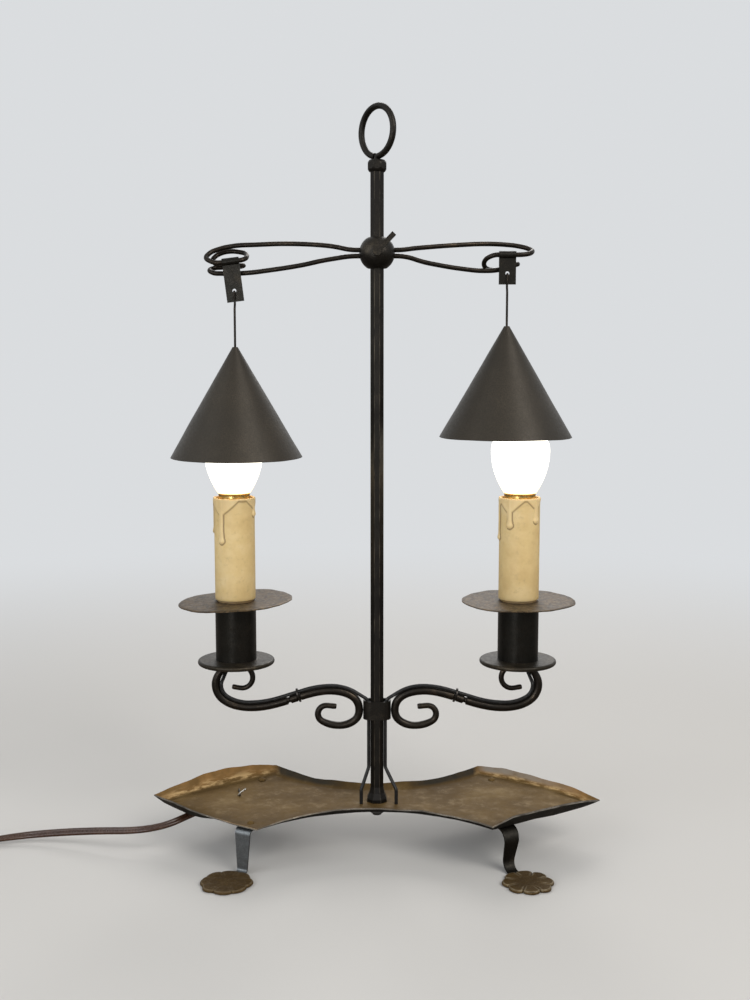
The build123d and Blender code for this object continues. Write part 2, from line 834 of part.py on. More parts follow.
for name, side in sides.items():
    save(make_sleeve(name, side), f"candle_sleeve_{name}")

# Sockets, their brackets and the bulbs
socket_top_z = sleeve_top_z - socket_below_rim
socket_bottom_z = socket_top_z - socket_length
base_top_z = sleeve_top_z + bulb_base_rise
base_bottom_z = base_top_z - bulb_base_height
socket_floor_z = base_bottom_z - bulb_tip_height


def make_light(name, side):
    """Bracket, socket and bulb inside one sleeve."""
    x = side * cup_x
    foot_z = plate_top_z + cup_floor
    with BuildPart() as bracket:
        with BuildSketch(Plane((0, bracket_width / 2, 0), x_dir=(side, 0, 0), z_dir=(0, -side, 0))):
            with BuildLine():
                back, front = cup_x - bracket_back, cup_x + bracket_front
                Polyline(
                    (front, foot_z),
                    (back, foot_z),
                    (back, socket_bottom_z),
                    (front, socket_bottom_z),
                    (front, socket_bottom_z - bracket_strap),
                    (back + bracket_strap, socket_bottom_z - bracket_strap),
                    (back + bracket_strap, foot_plate_top_z),
                    (front, foot_plate_top_z),
                    close=True,
                )
            make_face()
        extrude(amount=side * bracket_width)
        with BuildSketch(Plane((x, 0, foot_plate_top_z + overrun))):
            Circle(cup_rivet_shank / 2 + fit_gap)
        extrude(amount=-(bracket_strap + 2 * overrun), mode=Mode.SUBTRACT)
    save(bracket.part, f"socket_bracket_{name}")
    with BuildPart() as socket:
        outer, bore = socket_diameter / 2, socket_bore / 2
        turned(
            x,
            (
                (0, socket_bottom_z),
                (outer, socket_bottom_z),
                (outer, socket_top_z),
                (bore, socket_top_z),
                (bore, socket_floor_z),
                (0, socket_floor_z),
            ),
        )
        with BuildSketch(Plane((side * wire_hole_x, wire_hole_back, socket_bottom_z - overrun))):
            Circle(wire_hole / 2)
        extrude(amount=socket_wire_hole_depth + overrun, mode=Mode.SUBTRACT)
    save(socket.part, f"socket_{name}")
    with BuildPart() as base:
        outer, tip = bulb_base_diameter / 2, bulb_tip_diameter / 2
        turned(
            x,
            (
                (0, socket_floor_z),
                (tip, socket_floor_z),
                (tip, base_bottom_z),
                (outer, base_bottom_z),
                (outer, base_top_z),
                (0, base_top_z),
            ),
        )
    save(base.part, f"bulb_base_{name}")
    with BuildPart() as glass:
        centre_z = base_top_z + bulb_centre_rise
        neck_z = base_top_z + bulb_neck_height
        rise = centre_z - neck_z
        ball, neck = bulb_diameter / 2, bulb_neck_diameter / 2
        hollow = (rise**2 + neck**2 - ball**2) / (2 * (ball - neck))
        lean = asin(rise / (hollow + ball))
        for wall, mode in ((0, Mode.ADD), (bulb_wall, Mode.SUBTRACT)):
            with BuildSketch(upright(x)):
                with BuildLine():
                    r, waist = ball - wall, hollow + wall
                    meet = (r * cos(lean), centre_z - r * sin(lean))
                    mid = (neck + hollow - waist * cos(lean / 2), neck_z + waist * sin(lean / 2))
                    shoulder = (pi / 2 - lean) / 2
                    Polyline((0, centre_z + r), (0, base_top_z), (neck - wall, base_top_z), (neck - wall, neck_z))
                    ThreePointArc((neck - wall, neck_z), mid, meet)
                    ThreePointArc(meet, (r * cos(shoulder), centre_z + r * sin(shoulder)), (0, centre_z + r))
                make_face()
            revolve(axis=Axis((x, 0, 0), (0, 0, 1)), mode=mode)
    save(glass.part, f"bulb_glass_{name}")


for name, side in sides.items():
    make_light(name, side)

# Lamp wires: on the inside of the outer bend, over the arm, through the band and down the stem
splice_end = Vector(*cord_route[0])
splice_along = (Vector(*cord_route[1]) - splice_end).normalized()
splice_along = Vector(splice_along.X, splice_along.Y, 0).normalized()
splice_start = splice_end - splice_along * splice_length
splice_across = Vector(-splice_along.Y, splice_along.X, 0)
wire_spacing = arm_fattest_rod / 2 + wire_diameter / 2 + wire_standoff
wire_offset = sqrt(wire_spacing**2 - wire_forward**2)
wire_stem_x = stem_flats / 2 + wire_diameter / 2 + fit_gap
outer_place = long_runs["outer"][2]


def make_lamp_wire(name, side):
    """One lead, from the socket to the splice."""
    plane = outward(side).offset(side * wire_forward)
    start = (outer_place[0] - wire_offset, outer_place[1])
    steps = [
        (arm_outer_bend - wire_offset, arm_heel_turn - 90),
        (arm_heel_bend - wire_offset, -arm_heel_turn),
        (arm_belly_bend - wire_offset, -arm_slope),
        (arm_run, 0),
        (arm_shoulder_bend + wire_offset, arm_slope),
        (arm_crest_bend + wire_offset, 90 - arm_root_turn),
        (arm_root_bend + wire_offset, wire_crest_turn),
    ]
    crest = trace(start, -90, steps)[-1][2]
    dip = 90 - arm_root_turn + wire_crest_turn
    into_band = crest[0] - wire_collar_bend * (1 - sin(radians(dip))) - wire_stem_x
    steps.append((into_band / cos(radians(dip)), 0))
    steps.append((wire_collar_bend, 90 - dip))
    runs = trace(start, -90, steps)
    band = plane.from_local_coords(runs[-1][2])
    hole_x = side * wire_tray_hole_x[name]
    entry = splice_start + splice_across * (-side * splice_wire_spread)
    detour = [(x, y, cord_z) for x, y in wire_detour[name]]
    with BuildPart() as wire:
        with BuildLine() as line:
            socket_z = socket_bottom_z + socket_wire_hole_depth - running_gap
            top = (side * wire_hole_x, wire_hole_back)
            FilletPolyline(
                (*top, socket_z),
                (*top, plate_z - wire_diameter),
                (side * start[0], -wire_forward, wire_drop_z),
                plane.from_local_coords(start),
                radius=wire_bend,
            )
            draw(plane, runs)
            FilletPolyline(
                band,
                (band.X, band.Y, wire_flare_top_z),
                (hole_x, wire_tray_hole_y, wire_flare_bottom_z),
                (hole_x, wire_tray_hole_y, cord_z),
                *detour,
                entry - splice_along * splice_lead,
                entry,
                radius=wire_bend,
            )
        round_bar(line.wire(), wire_diameter)
    return wire.part


wires = {name: make_lamp_wire(name, side) for name, side in sides.items()}
for name, wire in wires.items():
    save(wire, f"lamp_wire_{name}")


def make_tie(side):
    """Wire tie in the inner groove of the bead, round the arm and the lamp wire."""
    plane = outward(side)
    along = (cos(bead_heading), sin(bead_heading))
    groove = (bead_place[0] - bead_length / 2 * along[0], bead_place[1] - bead_length / 2 * along[1])
    normal = plane.from_local_coords(along)
    inside_arm = arm_seat_rod / 2 + fit_gap
    width = arm_fattest_rod + 2 * fit_gap
    with BuildPart() as tie:
        across = Plane(plane.from_local_coords(groove), x_dir=(0, 1, 0), z_dir=normal)
        up = copysign(1, across.y_dir.Z)
        to_wire = Vector(-wire_forward, up * wire_offset)
        lean = Vector(1, 0).get_signed_angle(to_wire, Vector(0, 0, 1))
        with BuildSketch(across.offset(-tie_rod / 2)):
            low, high = -inside_arm, wire_spacing + wire_diameter / 2 + fit_gap
            middle = to_wire.normalized() * ((low + high) / 2)
            with Locations((middle.X, middle.Y)):
                SlotOverall(high - low + 2 * tie_rod, width + 2 * tie_rod, rotation=lean)
                SlotOverall(high - low, width, rotation=lean, mode=Mode.SUBTRACT)
        extrude(amount=tie_rod)
    return tie.part


for name, side in sides.items():
    save(make_tie(side), f"arm_tie_{name}")

# Splice sleeve and cord clip under the tray
with BuildPart() as splice:
    with BuildSketch(Plane(splice_start, z_dir=splice_along)):
        Circle(splice_diameter / 2)
    extrude(amount=splice_length)
save(splice.part, "cord_splice")

with BuildPart() as clip:
    with BuildLine() as clip_line:
        top_z = tray_floor_z + clip_wire / 2
        low_z = clip_centre.Z - clip_half
        ends = [clip_centre + clip_across * (s * (clip_half + clip_foot)) for s in (-1, 1)]
        FilletPolyline(
            (ends[0].X, ends[0].Y, top_z),
            (clip_holes[0].X, clip_holes[0].Y, top_z),
            (clip_holes[0].X, clip_holes[0].Y, low_z),
            (clip_holes[1].X, clip_holes[1].Y, low_z),
            (clip_holes[1].X, clip_holes[1].Y, top_z),
            (ends[1].X, ends[1].Y, top_z),
            radius=clip_bend,
        )
    round_bar(clip_line.wire(), clip_wire)
save(clip.part, "cord_clip")

# Supply cord
with BuildPart() as cord:
    with BuildLine() as cord_line:
        FilletPolyline(*cord_points, radius=cord_radii)
    cord_path = cord_line.wire()
    round_bar(cord_path, cord_diameter)
save(cord.part, "cord")
print("cord bend radii", [round(r, 1) for r in cord_radii])
cord_section = pi * (cord_diameter / 2) ** 2
print("cord volume over section times length", round(cord.part.volume / cord_section / cord_path.length, 4))


# Coil: in on the lower layer, a climb in the half turn where it reverses, and out on the upper layer
def biarc_middle(start, heading, end, end_heading):
    """Where two tangent arcs between two places and headings meet."""
    chord = end - start
    lean = chord.dot(heading + end_heading)
    spread = 2 * (1 - heading.dot(end_heading))
    reach = (sqrt(lean**2 + spread * chord.dot(chord)) - lean) / spread
    return (start + heading * reach + end - end_heading * reach) * 0.5


def draw_bends(places, headings):
    """Two tangent arcs from each place and heading to the next."""
    stops = list(zip(places, headings))
    for (start, heading), (end, end_heading) in zip(stops, stops[1:]):
        middle = biarc_middle(start, heading, end, end_heading)
        TangentArc(start, middle, tangent=heading)
        TangentArc(end, middle, tangent=end_heading * -1)


coil_z = cord_route[-1][2]
coil_outer_radius = coil_inner_radius + coil_pitch * coil_quarters_in / 4
coil_start = cord_points[-1] + Vector(-cord_diameter, 0, 0)
coil_centre = coil_start - Vector(0, coil_outer_radius, 0)
coil_places = []
coil_headings = []
for quarter in range(coil_quarters_in + coil_quarters_out + 1):
    past = quarter - coil_quarters_in
    radius = coil_inner_radius + coil_pitch * abs(past) / 4
    climb = min(max((past + 1) / 2, 0), 1)
    angle = pi / 2 * (quarter + 1)
    place = Vector(radius * cos(angle), radius * sin(angle), coil_pitch * climb)
    coil_places.append(coil_centre + place)
    coil_headings.append(Vector(-sin(angle), cos(angle), 0))
plug_z = plug_thickness / 2
tail_start = coil_places[-1]
tail = [tail_start + coil_headings[-1] * d for d in (0, *plug_tail)]
tail = tail[:2] + [Vector(p.X, p.Y, plug_z) for p in tail[2:]]

with BuildPart() as coil:
    with BuildLine() as coil_line:
        Line(cord_points[-1], coil_start)
        draw_bends(coil_places, coil_headings)
        FilletPolyline(*tail, radius=route_radii(tail))
    coil_path = coil_line.wire()
    round_bar(coil_path, cord_diameter)
save(coil.part, "cord_coil")
samples = [coil_path.position_at(i / 800) for i in range(801)]
spacing = coil_path.length / 800
apart = round(4 * cord_diameter / spacing)
least = min(
    (samples[i] - samples[j]).length for i in range(0, 801, 2) for j in range(i + apart, 801)
)
print("coil least gap", round(least - cord_diameter, 2))
print("coil volume over section times length", round(coil.part.volume / cord_section / coil_path.length, 4))
print("whole cord", round(cord_path.length + coil_path.length))

# Tie band round the coil, and the plug
with BuildPart() as coil_tie:
    angle = pi / 2 * (tie_quarter + 1)
    ray = Vector(cos(angle), sin(angle), 0)
    inner = coil_inner_radius - cord_diameter / 2 - running_gap
    outer = coil_outer_radius + cord_diameter / 2 + running_gap
    high = coil_z + coil_pitch + cord_diameter / 2 + running_gap
    low = coil_z - cord_diameter / 2 - running_gap
    face = Plane(Vector(coil_centre.X, coil_centre.Y, 0), x_dir=ray, z_dir=(ray.Y, -ray.X, 0))
    with BuildSketch(face.offset(-tie_width / 2)):
        with Locations(((inner + outer) / 2, (low + high) / 2)):
            Rectangle(outer - inner + 2 * tie_band, high - low + 2 * tie_band)
            Rectangle(outer - inner, high - low, mode=Mode.SUBTRACT)
    extrude(amount=tie_width)
save(coil_tie.part, "coil_tie")

plug_heading = coil_headings[-1]
with BuildPart() as plug:
    entry = Plane(tail[-1], x_dir=(plug_heading.Y, -plug_heading.X, 0), z_dir=plug_heading)
    with BuildSketch(entry):
        Circle(relief_end_diameter / 2)
    with BuildSketch(entry.offset(relief_length)):
        Circle(relief_root_diameter / 2)
    loft()
    with BuildSketch(entry.offset(relief_length)):
        RectangleRounded(plug_width, plug_thickness, plug_rounding)
    extrude(amount=plug_length)
    grip_edges = plug.faces().sort_by(Axis(tail[-1], plug_heading))[-1].edges()
    fillet(grip_edges, radius=plug_rounding / 2)
save(plug.part, "plug_body")

with BuildPart() as blades:
    with BuildSketch(entry.offset(relief_length + plug_length)):
        with GridLocations(blade_spacing, 0, 2, 1):
            Rectangle(blade_thickness, blade_height)
    extrude(amount=blade_length)
save(blades.part, "plug_blades")

# Shade carrier
with BuildPart() as ball:
    with Locations((0, 0, ball_z)):
        Sphere(ball_radius)
    with BuildSketch(Plane.XY.offset(ball_z - ball_height / 2)):
        Circle(ball_radius)
    extrude(amount=ball_height, mode=Mode.INTERSECT)
    with BuildSketch(Plane.XY.offset(ball_z - ball_radius - overrun)):
        octagon(stem_flats + 2 * ball_bore_gap)
    extrude(amount=ball_diameter + 2 * overrun, mode=Mode.SUBTRACT)
    for side in sides.values():
        bore_face = Plane((side * (loop_leg_root - fit_gap), 0, ball_z), x_dir=(0, 1, 0), z_dir=(side, 0, 0))
        with BuildSketch(bore_face):
            with Locations((0, loop_leg_rise), (0, -loop_leg_rise)):
                Circle(loop_rod / 2 + fit_gap)
        extrude(amount=ball_radius, mode=Mode.SUBTRACT)
    with BuildSketch(Plane((0, 0, ball_z), x_dir=(1, 0, 0), z_dir=(0, -1, 0))):
        Circle(screw_diameter / 2 + screw_running_gap)
    extrude(amount=ball_diameter, mode=Mode.SUBTRACT)
save(ball.part, "carrier_ball")


def bend_through(places, first_heading, last_heading):
    """Smooth bends through places, each with the heading of the circle through it and its neighbours."""
    headings = [first_heading]
    for before, here, after in zip(places, places[1:], places[2:]):
        come, go = here - before, after - here
        headings.append((come * (go.length / come.length) + go * (come.length / go.length)).normalized())
    draw_bends(places, [*headings, last_heading])


def strand_line(name, side):
    """Middle and direction, to the right, of the strand that a tab hangs on."""
    lean = radians(strand_lean[name])
    middle = Vector(side * strand_x[name], 0, ball_z + strand_rise[name])
    return middle, Vector(cos(lean), 0, -side * sin(lean))


def make_loop(name, side):
    """Wire arm that leaves the ball, is wound to a coil at its end and comes back to the ball."""

    def place(outwards, back, rise):
        return Vector(side * outwards, back, ball_z + rise)

    upper, lower = ([place(*p) for p in route[name]] for route in (loop_upper_route, loop_lower_route))
    leg_ends = (loop_leg_root, loop_leg_straight)
    roots, exits = ([place(x, 0, s * loop_leg_rise) for s in (1, -1)] for x in leg_ends)
    middle, rightwards = strand_line(name, side)
    inwards = rightwards * -side
    outer, inner = (middle + inwards * (s * (tab_width / 2 + strand_spare)) for s in (-1, 1))
    with BuildPart() as loop:
        with BuildLine() as line:
            Line(roots[0], exits[0])
            bend_through([exits[0], *upper, outer], Vector(side, 0, 0), inwards)
            Line(outer, inner)
            bend_through([inner, *lower, exits[1]], inwards, Vector(-side, 0, 0))
            Line(exits[1], roots[1])
        path = line.wire()
        round_bar(path, loop_rod)
    print(name, "loop volume over section times length", loop.part.volume / (pi * (loop_rod / 2) ** 2 * path.length))
    return loop.part


loops = {name: make_loop(name, side) for name, side in sides.items()}
for name, loop in loops.items():
    save(loop, f"carrier_loop_{name}")

with BuildPart() as thumbscrew:
    tip_y = stem_flats / 2 + screw_tip_gap
    hub_y = ball_radius + screw_neck
    with BuildSketch(Plane((0, -tip_y, ball_z), x_dir=(1, 0, 0), z_dir=(0, -1, 0))):
        Circle(screw_diameter / 2)
    extrude(amount=hub_y - tip_y)
    with BuildSketch(Plane((0, -hub_y, ball_z), x_dir=(1, 0, 0), z_dir=(0, -1, 0))):
        Circle(screw_hub_diameter / 2)
        with Locations(Location((0, 0), wing_angle)):
            Rectangle(wing_length, wing_thickness, align=(Align.MIN, Align.CENTER))
    extrude(amount=wing_depth)
save(thumbscrew.part, "thumbscrew")


# Hanging tabs, hooked wires and shades
def make_hanging(name, side):
    """Tab on the coil, the wire hooked in it and the cone on the wire."""
    strand, along = strand_line(name, side)
    eye_bore = loop_rod / 2 + tab_strand_gap
    leaf = Plane(strand - along * (tab_width / 2), x_dir=(0, 1, 0), z_dir=along)
    hole = strand - leaf.y_dir * tab_hole_drop[name]
    x, hole_z = hole.X, hole.Z
    tab_bottom_z = hole_z - tab_below_hole
    with BuildPart() as tab:
        with BuildSketch(leaf):
            Circle(eye_bore + tab_leaf)
            Rectangle(2 * tab_leaf, tab_hole_drop[name] + tab_below_hole, align=(Align.CENTER, Align.MAX))
            Circle(eye_bore, mode=Mode.SUBTRACT)
        extrude(amount=tab_width)
        with BuildSketch(Plane((x, 2 * tab_leaf, hole_z), x_dir=(1, 0, 0), z_dir=(0, -1, 0))):
            Circle(tab_hole / 2)
        extrude(amount=4 * tab_leaf, mode=Mode.SUBTRACT)
    save(tab.part, f"hanger_tab_{name}")

    pivot_z = hole_z - tab_hole / 2 + hook_rod / 2 + hook_seat_gap
    tip_z = tab_bottom_z - shade_hang[name] + tab_below_hole
    slope = (shade_rim_diameter - shade_tip_diameter) / 2 / shade_height
    half_angle_sine = slope / hypot(1, slope)
    inner_apex_z = tip_z + shade_tip_diameter / 2 / slope - shade_sheet / half_angle_sine
    bead_z = inner_apex_z - (bead_diameter / 2 + bead_gap) / half_angle_sine
    leg_y = tab_leaf + running_gap + hook_rod / 2
    with BuildPart() as hook:
        with BuildLine() as line:
            FilletPolyline(
                (x, 0, bead_z),
                (x, 0, tab_bottom_z - hook_jog),
                (x, leg_y, tab_bottom_z - hook_rod),
                (x, leg_y, pivot_z),
                (x, -leg_y, pivot_z),
                (x, -leg_y, pivot_z - hook_leg),
                radius=hook_bend,
            )
        round_bar(line.wire(), hook_rod)
        with Locations((x, 0, bead_z)):
            Sphere(bead_diameter / 2)
    save(hook.part, f"shade_wire_{name}")

    with BuildPart() as shade:
        rim_z = tip_z - shade_height
        rim, tip = shade_rim_diameter / 2, shade_tip_diameter / 2
        wall = shade_sheet * hypot(1, slope)
        turned(x, ((rim, rim_z), (tip, tip_z), (tip - wall, tip_z), (rim - wall, rim_z)))
    save(shade.part, f"shade_{name}")
    return x, strand, pivot_z, tip_z, rim_z


for name, side in sides.items():
    print(name, "hook place, strand, hook pivot, shade tip and rim heights", make_hanging(name, side))
print("cup plate, pan, sleeve top, bulb base top", plate_z, pan_z, sleeve_top_z, base_top_z)
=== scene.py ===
"""Two-light bouillotte lamp in forged iron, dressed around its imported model.

Metres, +Z up, the front towards -Y, the table top at Z = 0. The studio's sizes are metres, and those of
the lamp's pieces millimetres.
"""

import math

import bpy
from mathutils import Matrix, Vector, noise


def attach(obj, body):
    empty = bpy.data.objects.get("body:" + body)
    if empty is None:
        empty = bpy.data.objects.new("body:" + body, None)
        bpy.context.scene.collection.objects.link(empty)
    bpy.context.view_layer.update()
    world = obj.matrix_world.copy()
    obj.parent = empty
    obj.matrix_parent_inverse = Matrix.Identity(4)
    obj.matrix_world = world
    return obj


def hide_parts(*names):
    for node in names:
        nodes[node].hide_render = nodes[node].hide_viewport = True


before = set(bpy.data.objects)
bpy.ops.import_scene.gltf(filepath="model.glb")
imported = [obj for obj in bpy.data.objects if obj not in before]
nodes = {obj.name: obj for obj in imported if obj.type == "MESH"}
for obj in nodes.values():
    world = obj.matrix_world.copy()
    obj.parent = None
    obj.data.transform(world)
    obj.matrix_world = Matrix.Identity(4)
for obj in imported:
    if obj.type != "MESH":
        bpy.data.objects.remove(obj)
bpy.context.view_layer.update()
MM = 0.001
SIDES = {"left": -1, "right": 1}

# Studio: a pale floor that fades into a pale surround, a broad soft lamp on the right, a weak one on the
# left and a small low one beside the camera. The camera stands about a metre in front, level with the
# middle of the stem, tipped slightly down, as the photographer held it. The iron mirrors a brown table.
FLOOR_COLOUR, MIRRORED_FLOOR = (0.64, 0.63, 0.61, 1), (0.14, 0.12, 0.10, 1)
SURROUND_COLOUR, SURROUND_LEVEL = (0.80, 0.82, 0.84, 1), 0.88
FADE_START, FADE_END = 0.45, 1.7
FLOOR_RADIUS, FLOOR_DROP, FLOOR_MOTTLE = 9, 0.0004, 0.97
SOFT_COLOUR, SOFT_LEVEL = (0.97, 0.97, 0.97, 1), 0.42
CAMERA_PLACE = (-0.0017, -1.03, 0.42)
CAMERA_TILT = 6.7
PIXELS_FOCAL, PIXELS_HIGH, SENSOR = 1234, 1000, 24

bpy.ops.object.select_all(action="DESELECT")
bpy.ops.mesh.primitive_circle_add(
    vertices=64, radius=FLOOR_RADIUS, fill_type="NGON", location=(0, 0, -FLOOR_DROP)
)
floor = bpy.context.object
floor.name = "floor"
bpy.ops.object.transform_apply(location=True)


def bare_material(name):
    """A new material, its node tree and its shader."""
    material = bpy.data.materials.new(name)
    material.use_nodes = True
    return material, material.node_tree, material.node_tree.nodes["Principled BSDF"]


def put(tree, kind, settings=None, **inputs):
    """A node with its settings, and its inputs given as values or as sockets to link."""
    new = tree.nodes.new("ShaderNode" + kind)
    for key, value in (settings or {}).items():
        setattr(new, key, value)
    for key, value in inputs.items():
        socket = new.inputs[key.replace("_", " ")]
        if isinstance(value, bpy.types.NodeSocket):
            tree.links.new(value, socket)
        else:
            socket.default_value = value
    return new


floor_paper, tree, shader = bare_material("floor_paper")
place = put(tree, "TexCoord").outputs["Object"]
mottle = put(tree, "TexNoise", Vector=place, Scale=3.0, Detail=3.0)
shade = put(tree, "ValToRGB", Fac=mottle.outputs["Fac"])
shade.color_ramp.elements[0].color = [c * FLOOR_MOTTLE for c in FLOOR_COLOUR[:3]] + [1]
shade.color_ramp.elements[1].color = FLOOR_COLOUR
mirrored = put(tree, "Mix", {"data_type": "RGBA"})
tree.links.new(put(tree, "LightPath").outputs["Is Glossy Ray"], mirrored.inputs[0])
tree.links.new(shade.outputs["Color"], mirrored.inputs[6])
mirrored.inputs[7].default_value = MIRRORED_FLOOR
tree.links.new(mirrored.outputs[2], shader.inputs["Base Color"])
shader.inputs["Roughness"].default_value = 0.75
away = put(tree, "VectorMath", {"operation": "LENGTH"}, Vector=place)
fade = put(tree, "MapRange", {"interpolation_type": "SMOOTHSTEP"}, Value=away.outputs["Value"])
fade.inputs["From Min"].default_value, fade.inputs["From Max"].default_value = FADE_START, FADE_END
seen = put(tree, "Math", {"operation": "MULTIPLY"})
tree.links.new(fade.outputs["Result"], seen.inputs[0])
tree.links.new(put(tree, "LightPath").outputs["Is Camera Ray"], seen.inputs[1])
haze = put(tree, "Emission", Color=SURROUND_COLOUR, Strength=SURROUND_LEVEL)
faded = put(tree, "MixShader", Fac=seen.outputs[0])
tree.links.new(shader.outputs[0], faded.inputs[1])
tree.links.new(haze.outputs[0], faded.inputs[2])
tree.links.new(faded.outputs[0], tree.nodes["Material Output"].inputs["Surface"])
floor.data.materials.append(floor_paper)

world = bpy.data.worlds.new("surround")
bpy.context.scene.world = world
world.use_nodes = True
tree = world.node_tree
tree.nodes.clear()
rays = put(tree, "LightPath")
shown = rays.outputs["Is Camera Ray"]
for ray in ("Is Glossy Ray", "Is Transmission Ray"):
    either = put(tree, "Math", {"operation": "MAXIMUM"})
    tree.links.new(shown, either.inputs[0])
    tree.links.new(rays.outputs[ray], either.inputs[1])
    shown = either.outputs[0]
soft = put(tree, "Background", Color=SOFT_COLOUR, Strength=SOFT_LEVEL)
pale = put(tree, "Background", Color=SURROUND_COLOUR, Strength=SURROUND_LEVEL)
either = put(tree, "MixShader", Fac=shown)
tree.links.new(soft.outputs[0], either.inputs[1])
tree.links.new(pale.outputs[0], either.inputs[2])
put(tree, "OutputWorld", Surface=either.outputs[0])


def soft_lamp(name, at, target, size, power, colour):
    """A square soft lamp that faces a point."""
    data = bpy.data.lights.new(name, "AREA")
    data.size = size
    data.energy = power
    data.color = colour
    lamp = bpy.data.objects.new(name, data)
    bpy.context.scene.collection.objects.link(lamp)
    lamp.location = at
    lamp.rotation_euler = (Vector(target) - Vector(at)).to_track_quat("-Z", "Y").to_euler()


soft_lamp(
    "key_lamp", at=(1.3, -1.5, 1.7), target=(0, 0, 0.3),
    size=1.4, power=31, colour=(1.0, 0.97, 0.93),
)
soft_lamp(
    "fill_lamp", at=(-1.7, -1.2, 1.1), target=(0, 0, 0.3),
    size=1.6, power=13, colour=(0.92, 0.96, 1.0),
)
soft_lamp(
    "low_lamp", at=(-0.62, -1.55, 0.34), target=(0, 0, 0.2),
    size=0.4, power=5.5, colour=(0.95, 0.97, 1.0),
)
soft_lamp(
    "back_lamp", at=(0.2, 1.8, 1.6), target=(0, 0, 0.3),
    size=1.2, power=16, colour=(1.0, 0.97, 0.94),
)

camera_data = bpy.data.cameras.new("camera")
camera_data.sensor_fit = "VERTICAL"
camera_data.sensor_height = SENSOR
camera_data.lens = SENSOR * PIXELS_FOCAL / PIXELS_HIGH
camera = bpy.data.objects.new("camera", camera_data)
bpy.context.scene.collection.objects.link(camera)
camera.location = CAMERA_PLACE
camera.rotation_euler = (math.radians(90 - CAMERA_TILT), 0, 0)
bpy.context.scene.camera = camera
bpy.context.scene.view_settings.view_transform = "Standard"

# Base tray: one sheet of iron cut to four corners and a narrow waist, its edge hammered up to a flared
# rim. The floor is dished and scuffed by hand, and the corners are pinched. Along the inside of the rim at
# both ends the brown patina turns to copper, as wear and as a painted sheen of the bulbs' light, with a
# painted highlight glinting along the lower fold.
TRAY_FLOOR, TRAY_RIM, TRAY_SHEET, TRAY_FLARE = 37.5, 45.5, 1.0, 6.5
TRAY_TIP, TRAY_CORNER, TRAY_WAIST, TRAY_BOW = 192.5, Vector((93.0, 73.5)), 31.5, 3.0
TRAY_BENDS = ((0.05, 0.02), (0.22, 0.11), (0.50, 0.42), (0.78, 0.75), (1.0, 1.0))
TRAY_GRID, TRAY_WELD, TRAY_CREASE = (120, 26), 0.05, 38
BACK, FRONT = 1, -1
RIM_LIFT = {
    BACK: (
        (-1.0, -2.9), (-0.9, 0.6), (-0.8, 4.3), (-0.7, 4.8), (-0.6, 3.1), (-0.5, -1.5), (-0.4, -2.0),
        (-0.3, -4.2), (-0.2, -3.4), (0.0, -4.2), (0.1, -3.2), (0.3, -3.8), (0.4, -2.5), (0.5, -2.7),
        (0.6, 0.0), (0.7, -0.5), (0.8, -1.6), (0.9, -2.8), (1.0, -7.6),
    ),
    FRONT: (
        (-1.0, -2.9), (-0.9, -3.0), (-0.8, -4.9), (-0.7, -5.3), (-0.6, -5.6), (-0.5, -5.2), (-0.4, -4.2),
        (-0.3, -3.4), (-0.2, -2.5), (0.0, -3.0), (0.1, -4.0), (0.2, -2.8), (0.3, -3.7), (0.4, -3.2),
        (0.5, -2.9), (0.58, 2.0), (0.7, 1.2), (0.8, 0.0), (0.9, -2.5), (1.0, -7.6),
    ),
}
FOLD_LIFT = {
    BACK: ((-1.0, -1.5), (-0.9, 0.0), (0.8, 0.0), (0.9, -1.0), (1.0, -3.5)),
    FRONT: (
        (-1.0, -1.5), (-0.94, -2.6), (-0.86, -4.0), (-0.79, -3.2), (-0.71, 0.3), (0.7, 0.5),
        (0.8, -1.5), (0.9, -2.5), (1.0, -3.5),
    ),
}
DISH_WAVES, DISH_SAG, FIXING_REACH = ((34, 0.45), (11, 0.22)), 0.42, 40
RIM_WAVE, RIM_WAVE_SHIFT, RIM_RIPPLE = (16, 0.55), Vector((112, 48, 0)), (6, 0.22)
RIM_UP_SHARE, RIM_OUT_SHARE = 0.8, 0.7
CORNER_PULL, CORNER_SHARE, CORNER_SPAN_SHARE = 4.0, 0.5, 0.3
waist_rise = TRAY_CORNER.y - TRAY_WAIST
waist_arc = (TRAY_CORNER.x**2 + waist_rise**2) / (2 * waist_rise)
waist_centre = Vector((0, TRAY_WAIST + waist_arc))
side_run = (Vector((TRAY_TIP, 0)) - TRAY_CORNER).normalized()
side_start = TRAY_CORNER - Vector((-side_run.y, side_run.x)) * TRAY_FLARE
to_start = side_start - waist_centre
along = to_start.dot(side_run)
spare = along**2 - to_start.dot(to_start) + (waist_arc + TRAY_FLARE) ** 2
floor_corner = side_start + side_run * min((-along + spare**0.5, -along - spare**0.5), key=abs)
floor_tip = side_start.x - side_run.x * side_start.y / side_run.y


def waist_edge(x, arc):
    """How far out the tray's curved waist lies at x."""
    return waist_centre.y - math.sqrt(arc**2 - x**2)


def side_edge(share, start, end):
    """A point along a tray's outer side, bowed out a little."""
    bow = TRAY_BOW * 4 * share * (1 - share)
    outward = Vector((-side_run.y, side_run.x))
    return start.lerp(Vector((end, 0)), share) + outward * bow


def tray_place(across, ends):
    """Floor edge and rim edge of the tray at a share of its length, with ends as the sign of X."""
    if across <= 0.5:
        share = across * 2
        low = Vector((floor_corner.x * share, waist_edge(floor_corner.x * share, waist_arc + TRAY_FLARE)))
        high = Vector((TRAY_CORNER.x * share, waist_edge(TRAY_CORNER.x * share, waist_arc)))
    else:
        share = across * 2 - 1
        low = side_edge(share, floor_corner, floor_tip)
        high = side_edge(share, TRAY_CORNER, TRAY_TIP)
    return Vector((low.x * ends, low.y)), Vector((high.x * ends, high.y))


